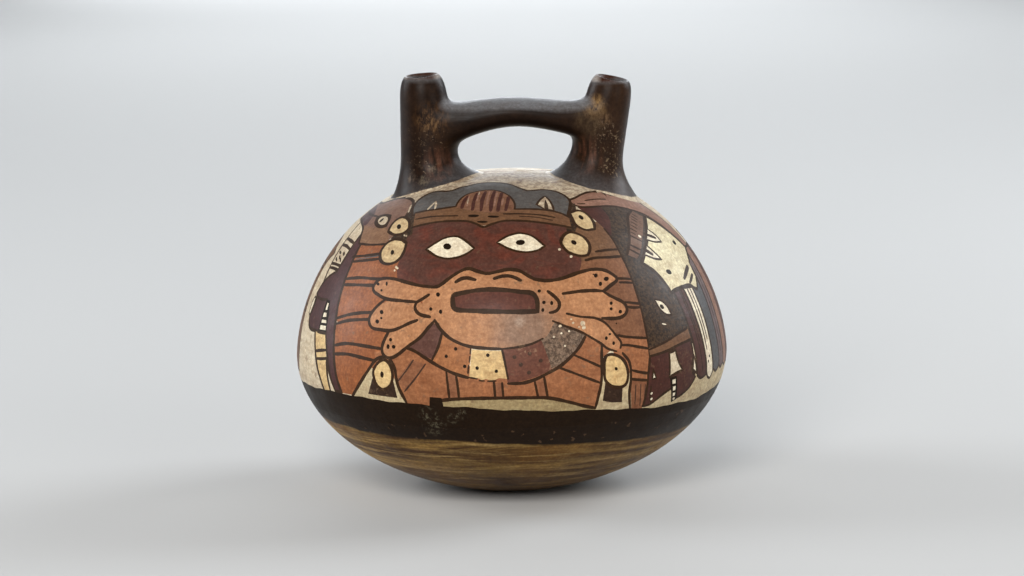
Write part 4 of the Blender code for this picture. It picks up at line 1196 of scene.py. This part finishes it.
# The slips: mineral colours in thin clay, each brushed on in one coat and rubbed with a pebble
# until it shines. The same hand laid them all, so they share their brush marks, specks and wear.
BRUSHED_DARK, SMOKED, PALER = (0.42, 0.27, 0.17), (0.52, 0.38, 0.28), (1.30, 1.28, 1.24)
CLOUDED, DARK_GRAIN, PALE_GRAIN = (0.60, 0.45, 0.33), (0.30, 0.18, 0.10), (1.30, 1.26, 1.18)
PALE_STROKE, SPECK, WORN_CLAY = (1.5, 1.45, 1.35), (0.16, 0.09, 0.05), (0.42, 0.27, 0.16)
SCRATCH, THIN_CREAM = (0.085, 0.076, 0.050), (0.215, 0.145, 0.098)
CHIN_GREY, CHIN_BARE, REDDER = (0.25, 0.165, 0.118), (0.40, 0.30, 0.23), (0.125, 0.036, 0.022)
DARK_GRIT, PALE_GRIT = (0.45, 0.42, 0.38), (1.55, 1.55, 1.5)


class Finish:
    """A procedural finish on the pot's own coordinates."""

    def __init__(self, name):
        self.material = bpy.data.materials.new(name)
        self.material.use_nodes = True
        self.tree = self.material.node_tree
        self.shader = self.tree.nodes["Principled BSDF"]
        self.place = self.node("TexCoord").outputs["Object"]

    def node(self, kind, **settings):
        """A new node of the finish."""
        made = self.tree.nodes.new("ShaderNode" + kind)
        for name, value in settings.items():
            setattr(made, name, value)
        return made

    def feed(self, socket, value):
        """Link or set a socket, whichever the value asks for."""
        if isinstance(value, bpy.types.NodeSocket):
            self.tree.links.new(value, socket)
        elif isinstance(value, tuple) and len(value) == 3 and socket.type == "RGBA":
            socket.default_value = (*value, 1)
        else:
            socket.default_value = value

    def math(self, operation, *values):
        """A sum of two or more values, or another operation on one or two."""
        result = values[0]
        for value in values[1:] or (0.0,):
            made = self.node("Math", operation=operation)
            self.feed(made.inputs[0], result)
            self.feed(made.inputs[1], value)
            result = made.outputs[0]
        return result

    def split(self, vector):
        """The three parts of a vector."""
        made = self.node("SeparateXYZ")
        self.feed(made.inputs[0], vector)
        return made.outputs

    def stretched(self, scale, turn=(0, 0, 0)):
        """The pot's coordinates, stretched and turned."""
        made = self.node("Mapping")
        self.feed(made.inputs["Vector"], self.place)
        made.inputs["Scale"].default_value = scale
        made.inputs["Rotation"].default_value = turn
        return made.outputs[0]

    def noise(self, scale, detail, rough, place=None, bend=0.0):
        """A cloudy pattern."""
        made = self.node("TexNoise")
        self.feed(made.inputs["Vector"], place or self.place)
        made.inputs["Scale"].default_value = scale
        made.inputs["Detail"].default_value = detail
        made.inputs["Roughness"].default_value = rough
        made.inputs["Distortion"].default_value = bend
        return made.outputs["Fac"]

    def between(self, value, low, high, to_low=0.0, to_high=1.0):
        """Where a value lies between two edges, as a value between two others."""
        made = self.node("MapRange")
        for name, amount in (("Value", value), ("From Min", low), ("From Max", high),
                             ("To Min", to_low), ("To Max", to_high)):
            self.feed(made.inputs[name], amount)
        return made.outputs[0]

    def blend(self, share, under, over, way="MIX"):
        """A share of one colour over another."""
        made = self.node("Mix", data_type="RGBA", blend_type=way)
        self.feed(made.inputs["Factor"], share)
        colours = [socket for socket in made.inputs if socket.type == "RGBA"]
        self.feed(colours[0], under)
        self.feed(colours[1], over)
        return [socket for socket in made.outputs if socket.type == "RGBA"][0]

    def tint(self, colour, pattern, edges, shares, tint):
        """A colour, multiplied by a tint as far as a pattern says."""
        return self.blend(self.between(pattern, *edges, *shares), colour, tint, "MULTIPLY")

    def bump(self, height, distance, strength, before=None):
        """A surface that a pattern raises by a distance."""
        made = self.node("Bump")
        self.feed(made.inputs["Height"], height)
        made.inputs["Distance"].default_value = distance
        made.inputs["Strength"].default_value = strength
        if before:
            self.feed(made.inputs["Normal"], before)
        return made.outputs[0]

    def rub(self, colour, middle, reach, shade, share=1.0):
        """Blend a colour towards a shade round a place of the pot, given in millimetres."""
        apart = self.node("VectorMath", operation="DISTANCE")
        self.feed(apart.inputs[0], self.place)
        apart.inputs[1].default_value = [part * MM for part in middle]
        near = self.between(apart.outputs["Value"], reach * MM, 0.35 * reach * MM)
        return self.blend(self.math("MULTIPLY", near, share), colour, shade)

    def burnish(self, colour, shine, specks, streaks, wear, gloss=0.17):
        """Brush marks, specks, rubbed places and the uneven gloss of a burnished slip."""
        patches = self.noise(38, 5, 0.6)
        blotches = self.noise(300, 5, 0.7)
        grain = self.noise(900, 3, 0.6)
        marks = self.noise(1, 4, 0.65, self.stretched((70, 70, 520)), 0.3)
        strokes = self.noise(1, 4, 0.7, self.stretched((430, 430, 75), (0.35, 0.2, 0)), 0.4)
        for pattern, edges, shares, tint in (
                (patches, (0.35, 0.65), (0.0, 0.26), CLOUDED),
                (blotches, (0.50, 0.66), (0.0, 0.34), SMOKED),
                (blotches, (0.46, 0.34), (0.0, 0.40), PALER),
                (marks, (0.42, 0.66), (0.0, 0.34 * streaks), BRUSHED_DARK),
                (grain, (0.36, 0.62), (0.34, 0.0), DARK_GRAIN),
                (grain, (0.54, 0.70), (0.0, 0.35), PALE_GRAIN),
                (strokes, (0.54, 0.68), (0.0, 0.42 * streaks), PALE_STROKE)):
            colour = self.tint(colour, pattern, edges, shares, tint)
        sprinkled = self.between(self.noise(420, 2, 0.5), 0.66, 0.72, 0.0, specks)
        colour = self.blend(sprinkled, colour, SPECK)
        rubbed = self.math("MULTIPLY", self.between(self.noise(26, 9, 0.72), 0.58, 0.66),
                           self.between(self.noise(620, 3, 0.7), 0.50, 0.58))
        colour = self.blend(self.math("MULTIPLY", rubbed, wear), colour, WORN_CLAY)
        rough = self.between(self.noise(140, 5, 0.65), 0.3, 0.7, shine - 0.05, shine + 0.11)
        rough = self.math("ADD", rough, self.math("MULTIPLY", rubbed, 0.22))
        square = self.bump(self.noise(24, 3, 0.5), 0.0009, 0.35)
        square = self.bump(marks, 0.00014, 0.45, square)
        square = self.bump(grain, 0.00005, 0.5, square)
        self.feed(self.shader.inputs["Base Color"], colour)
        self.feed(self.shader.inputs["Roughness"], rough)
        self.feed(self.shader.inputs["Normal"], square)
        self.shader.inputs["Specular IOR Level"].default_value = gloss
        return self.material


def scratched(finish, colour):
    """The band is scratched to a pale grey at the left of the front."""
    scratches = finish.between(finish.noise(620, 5, 0.75), 0.52, 0.60)
    for *middle, reach in ((-31.8, -75.6, 40.6, 5.6), (-30.2, -74.6, 36.6, 6.2),
                           (-19.6, -80.5, 41.9, 3.0), (-23.0, -79.0, 39.8, 3.0)):
        colour = finish.rub(colour, middle, reach, SCRATCH, scratches)
    return colour


def thin_cream_and_highlight(finish, colour):
    """On the crown the cream is thin and the brown clay shows through it in specks; behind the
    crown's middle the specks fall away to a whiter cream, a painted highlight.
    """
    _, north, height = finish.split(finish.place)
    specks = finish.noise(460, 5, 0.75)
    # Behind the crown's middle the specks drop to a quarter: a painted highlight along the crown's
    # far edge.
    thin_and_highlight = finish.math("MULTIPLY", finish.between(specks, 0.42, 0.60, 0.22, 0.86),
                       finish.between(height, 0.104, 0.119, 0.14, 1.0),
                       finish.between(north, -0.006, 0.001, 1.0, 0.25))
    return finish.blend(thin_and_highlight, colour, THIN_CREAM)


for name, (colour, *habits) in COATS.items():
    slip = Finish(name + " slip")
    if name == "cream":
        colour = thin_cream_and_highlight(slip, colour)
    if name == "light orange":
        # The chin is greyer at its right, with a small paler spot.
        colour = slip.rub(colour, (5.5, -80.5, 74.5), 17, CHIN_GREY, 0.85)
        colour = slip.rub(colour, (3.4, -79.7, 76.8), 2.6, CHIN_BARE, 0.8)
    if name == "dark red":
        # The face is brushed redder in places.
        redder = slip.noise(1, 5, 0.65, slip.stretched((60, 60, 110), (0, 0.5, 0)), 1.2)
        colour = slip.blend(slip.between(redder, 0.46, 0.62), colour, REDDER)
    if name in ("collar grey", "charcoal"):
        # The charcoal slips are gritty, with dark and pale grains.
        grit = slip.between(slip.noise(760, 3, 0.75), 0.42, 0.58)
        colour = slip.blend(0.85, colour, slip.blend(grit, DARK_GRIT, PALE_GRIT), "MULTIPLY")
    if name == "black":
        colour = scratched(slip, colour)
    mesh.materials.append(slip.burnish(colour, *habits))


# Below the band the clay has no slip: it is mottled brown and buff from the fire, with pale
# brushed streaks, and the black of the band thins out over its upper edge.
FIRED_DARK, FIRED_PALE, BUFFER = (0.060, 0.028, 0.0085), (0.165, 0.086, 0.023), (1.55, 1.50, 1.40)
# each brushed layer: its stretch, detail, roughness and bend, its edges, its share and colour
BRUSHED_LAYERS = (((11, 11, 120), 6, 0.62, 0.5, (0.47, 0.62), 0.82, (0.42, 0.275, 0.085)),
                  ((26, 26, 620), 5, 0.70, 0.4, (0.52, 0.64), 0.60, (0.46, 0.32, 0.125)),
                  ((14, 14, 240), 6, 0.62, 0.3, (0.52, 0.68), 0.75, (0.045, 0.022, 0.009)))
clay = Finish("bare clay")
east, north, height = clay.split(clay.place)
fire = clay.between(clay.noise(1, 4, 0.6, clay.stretched((13, 13, 40)), 0.5), 0.40, 0.60)
colour = clay.blend(fire, FIRED_DARK, FIRED_PALE)
for stretch, detail, rough, bend, edges, share, shade in BRUSHED_LAYERS:
    pattern = clay.noise(1, detail, rough, clay.stretched(stretch), bend)
    colour = clay.blend(clay.between(pattern, *edges, 0.0, share), colour, shade)
colour = clay.tint(colour, east, (-0.005, -0.055), (0.0, 0.8), BUFFER)
ragged = clay.math("MULTIPLY", clay.math("SUBTRACT", clay.noise(90, 5, 0.6), 0.5), 0.0022)
under_band = clay.between(east, -0.022, 0.0,
                          WIDEST_HEIGHT * MM - 0.0230, WIDEST_HEIGHT * MM - 0.0245)
far_left = clay.math("MAXIMUM", clay.math("SUBTRACT", -0.045, east), 0.0)
far_right = clay.math("MAXIMUM", east, 0.0)
edge = clay.math("ADD", under_band, clay.math("MULTIPLY", far_left, 0.05))
edge = clay.math("SUBTRACT", edge, clay.math("MULTIPLY", far_right, 0.045))
over = clay.math("SUBTRACT", clay.math("ADD", height, ragged), edge)
colour = clay.blend(clay.between(over, -0.0006, 0.0005), colour, COATS["black"][0])
mesh.materials.append(clay.burnish(scratched(clay, colour), 0.40, 0.35, 0.8, 0.0, 0.10))

# Inside, the clay is as the potter's fingers left it: rough, red-brown and dusty. Little of it is
# seen but the bores below the mouths.
hollow = Finish("inside clay")
colour = hollow.blend(hollow.between(hollow.noise(60, 6, 0.6), 0.35, 0.65),
                      (0.070, 0.026, 0.013), (0.125, 0.052, 0.027))
mesh.materials.append(hollow.burnish(colour, 0.70, 0.5, 0.4, 0.5, 0.1))

# The spouts and the strap carry the dark slip down to a hand-brushed edge on their flared feet. It
# is rubbed grey on the lips and in patches, where hands and other pots have touched it, and its
# upward faces are grey, partly with dust and partly with a painted sheen.
dark = Finish("spout slip")
east, north, height = dark.split(dark.place)
# how far from the middle of each foot the slip reaches, at each turn in degrees
FOOT_PAINT = {
    LEFT["flare x"]: ((-180, 18.3), (-169, 18.3), (-145, 17.5), (-120, 17.1), (-98, 16.9),
                      (-71, 16.6), (-46, 16.2), (-25, 16.0), (0, 16.6), (60, 16.4), (120, 17.0),
                      (180, 18.3)),
    RIGHT["flare x"]: ((-180, 17.4), (-150, 17.6), (-131, 17.9), (-117, 18.5), (-105, 18.7),
                       (-96, 18.0), (-84, 17.3), (-60, 16.8), (-22, 16.5), (60, 16.6),
                       (120, 17.0), (180, 17.4))}
CURVE_REACH = 20
edges = []
for centre, reach in FOOT_PAINT.items():
    away = dark.math("SUBTRACT", east, centre * MM)
    angle = dark.math("ARCTAN2", north, away)
    curve = dark.node("FloatCurve")
    spline = curve.mapping.curves[0]
    for turn, far in reach:
        at = ((turn + 180) / 360, far / CURVE_REACH)
        if turn in (-180, 180):
            spline.points[0 if turn < 0 else -1].location = at
        else:
            spline.points.new(*at)
    curve.mapping.update()
    dark.feed(curve.inputs["Value"], dark.between(angle, -math.pi, math.pi))
    far = dark.math("SQRT", dark.math("ADD", dark.math("MULTIPLY", away, away),
                                      dark.math("MULTIPLY", north, north)))
    painted_to = dark.math("MULTIPLY", curve.outputs[0], CURVE_REACH * MM)
    edges.append(dark.math("SUBTRACT", far, painted_to))
uneven = dark.math("MULTIPLY", dark.math("SUBTRACT", dark.noise(160, 4, 0.6), 0.5), 0.0009)
beyond = dark.math("ADD", dark.math("MINIMUM", *edges), uneven)
bare = dark.math("MULTIPLY", dark.between(beyond, -0.0001, 0.0002),
                 dark.between(height, 0.1262, 0.1270, 1.0, 0.0))
colour = dark.blend(dark.between(dark.noise(70, 6, 0.65), 0.38, 0.66),
                    (0.0085, 0.0036, 0.0016), (0.021, 0.0098, 0.0044))
right_colour = dark.blend(dark.between(dark.noise(60, 6, 0.65), 0.36, 0.66),
                          (0.0165, 0.0078, 0.0036), (0.038, 0.0185, 0.0090))
colour = dark.blend(dark.between(east, 0.018, 0.030), colour, right_colour)
upright_streaks = dark.noise(1, 5, 0.65, dark.stretched((330, 330, 45)), 0.3)
flecks = dark.noise(1000, 3, 0.6)
smudges = dark.noise(1, 5, 0.7, dark.stretched((620, 620, 260)), 0.4)
# where it is rubbed: the middle in millimetres, the reach, the share of flecks, and the colour
RUBBED = (((-29.3, -10.1, 146.6), 9.0, smudges, (0.42, 0.66), (0.078, 0.038, 0.015)),
          ((-30.5, -10.1, 146.4), 5.5, smudges, (0.50, 0.68), (0.165, 0.098, 0.042)),
          ((34.2, -8.6, 150.4), 5.8, smudges, (0.36, 0.60), (0.30, 0.180, 0.070)),
          ((38.4, -9.4, 145.2), 3.4, smudges, (0.44, 0.62), (0.15, 0.090, 0.048)),
          ((33.0, -10.2, 146.0), 9.0, smudges, (0.36, 0.66), (0.070, 0.046, 0.024)),
          ((-27.5, -11.5, 128.5), 9.0, upright_streaks, (0.46, 0.62), (0.085, 0.036, 0.020)),
          ((30.5, -9.6, 131.5), 9.0, upright_streaks, (0.46, 0.62), (0.095, 0.040, 0.022)),
          ((42.0, -8.6, 134.0), 10.5, flecks, (0.59, 0.66), (0.16, 0.115, 0.068)),
          ((41.2, -9.2, 126.0), 7.0, flecks, (0.58, 0.65), (0.16, 0.115, 0.068)),
          ((38.2, -10.2, 141.5), 5.0, flecks, (0.56, 0.62), (0.14, 0.100, 0.065)),
          ((-36.0, -9.5, 139.5), 7.0, flecks, (0.63, 0.68), (0.12, 0.080, 0.048)),
          ((-28.5, -10.5, 139.5), 7.0, flecks, (0.62, 0.67), (0.12, 0.080, 0.048)),
          ((-33.0, -11.5, 128.0), 8.0, flecks, (0.61, 0.66), (0.13, 0.090, 0.055)),
          ((-38.0, -10.4, 123.9), 2.4, smudges, (0.44, 0.60), (0.13, 0.092, 0.062)),
          ((-32.9, -13.8, 123.1), 2.8, smudges, (0.42, 0.58), (0.14, 0.110, 0.072)),
          ((-29.7, -12.2, 127.3), 2.0, smudges, (0.42, 0.58), (0.13, 0.092, 0.062)))
for middle, reach, grain, (few, many), shade in RUBBED:
    colour = dark.rub(colour, middle, reach, shade, dark.between(grain, few, many))
# The strap's underside is darker, a painted shade, and what faces up is a lighter grey, partly
# settled dust and partly a painted sheen.
facing = dark.split(dark.node("NewGeometry").outputs["Normal"])[2]
painted_under_shade = dark.math("MULTIPLY", dark.between(facing, -0.05, -0.35),
                   dark.between(height, 0.137, 0.140),
                   dark.between(facing, -0.85, -0.60, 0.25, 1.0))
colour = dark.blend(painted_under_shade, colour, (0.45, 0.38, 0.30), "MULTIPLY")
dust_and_sheen = dark.math("MULTIPLY", dark.between(facing, 0.36, 0.78, 0.0, 0.95),
                  dark.between(height, 0.126, 0.142, 0.35, 1.0))
colour = dark.blend(dust_and_sheen, colour, (0.155, 0.158, 0.168))
# The lips are worn to a pale grey line, and the clay shows red-brown inside the mouths.
for spout in (LEFT, RIGHT):
    top = (CROWN_HEIGHT + spout["rise"]) * MM
    aside = dark.math("ABSOLUTE", dark.math("SUBTRACT", east, spout["rim"] * MM))
    worn = dark.math("MULTIPLY", dark.between(aside, 0.010, 0.009),
                     dark.between(height, top - 0.0016, top - 0.0005),
                     dark.between(dark.noise(150, 5, 0.7), 0.36, 0.56, 0.55, 1.0))
    lip = dark.blend(dark.between(aside, 0.0042, 0.0064), (0.052, 0.019, 0.010),
                     (0.30, 0.272, 0.250))
    colour = dark.blend(worn, colour, lip)
colour = dark.blend(bare, colour, thin_cream_and_highlight(dark, COATS["cream"][0]))
mesh.materials.append(dark.burnish(colour, 0.36, 0.0, 0.3, 0.08, 0.08))
for name, value in (("Sheen Weight", 0.13), ("Sheen Roughness", 0.35),
                    ("Sheen Tint", (0.86, 0.92, 1.0, 1.0))):
    dark.shader.inputs[name].default_value = value

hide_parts("vessel")
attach(bottle, "root")

# The setting: a plain pale floor, soft lamps all round, and a long lens that looks at the pot from
# a little above its rims.
bpy.ops.mesh.primitive_plane_add(size=6.0)
floor = bpy.context.object
floor.name = "floor"
paper = bpy.data.materials.new("pale paper")
paper.use_nodes = True
matt = paper.node_tree.nodes["Principled BSDF"].inputs
matt["Base Color"].default_value = (0.48, 0.475, 0.465, 1)
matt["Roughness"].default_value = 0.9
floor.data.materials.append(paper)

WARM, COOL = (1.0, 0.985, 0.96), (0.90, 0.95, 1.0)
LAMPS_LOOK_AT = Vector((0, 0, 0.08))
for name, where, power, size, tint in (("key", (-0.45, -2.15, 1.25), 61, 1.1, WARM),
                                       ("fill", (1.5, -1.5, 0.7), 12, 1.2, WARM),
                                       ("left edge", (-1.35, 0.35, 0.6), 16, 0.8, COOL),
                                       ("right edge", (1.25, 0.6, 0.75), 20, 0.8, COOL),
                                       ("back card", (0.0, 1.5, 1.0), 11, 1.7, COOL),
                                       ("horizon", (0.0, 2.3, 0.42), 9, 0.8, COOL)):
    lamp = bpy.data.lights.new(name, "AREA")
    lamp.energy = power
    lamp.size = size
    lamp.color = tint
    holder = bpy.data.objects.new(name, lamp)
    bpy.context.scene.collection.objects.link(holder)
    holder.location = where
    holder.rotation_euler = (LAMPS_LOOK_AT - Vector(where)).to_track_quat("-Z", "Y").to_euler()
world = bpy.data.worlds.new("studio")
world.use_nodes = True
sky = world.node_tree.nodes["Background"].inputs
sky["Color"].default_value = (0.75, 0.77, 0.80, 1)
sky["Strength"].default_value = 0.10
bpy.context.scene.world = world
bpy.context.scene.view_settings.view_transform = "Standard"

LENS = 177.96
EYE = Vector((0.616, -1978.03, 373.58)) * MM
AIM = Vector((0.616, 0, 77.96)) * MM
ROLL = math.radians(1.2)
camera_data = bpy.data.cameras.new("camera")
camera_data.lens = LENS
camera_data.sensor_width = 36
camera = bpy.data.objects.new("camera", camera_data)
bpy.context.scene.collection.objects.link(camera)
gaze = (AIM - EYE).normalized()
level = gaze.cross(Vector((0, 0, 1))).normalized()
upright = level.cross(gaze)
right = level * math.cos(ROLL) - upright * math.sin(ROLL)
above = level * math.sin(ROLL) + upright * math.cos(ROLL)
camera.matrix_world = Matrix.Translation(EYE) @ Matrix((right, above, -gaze)).transposed().to_4x4()
bpy.context.scene.camera = camera
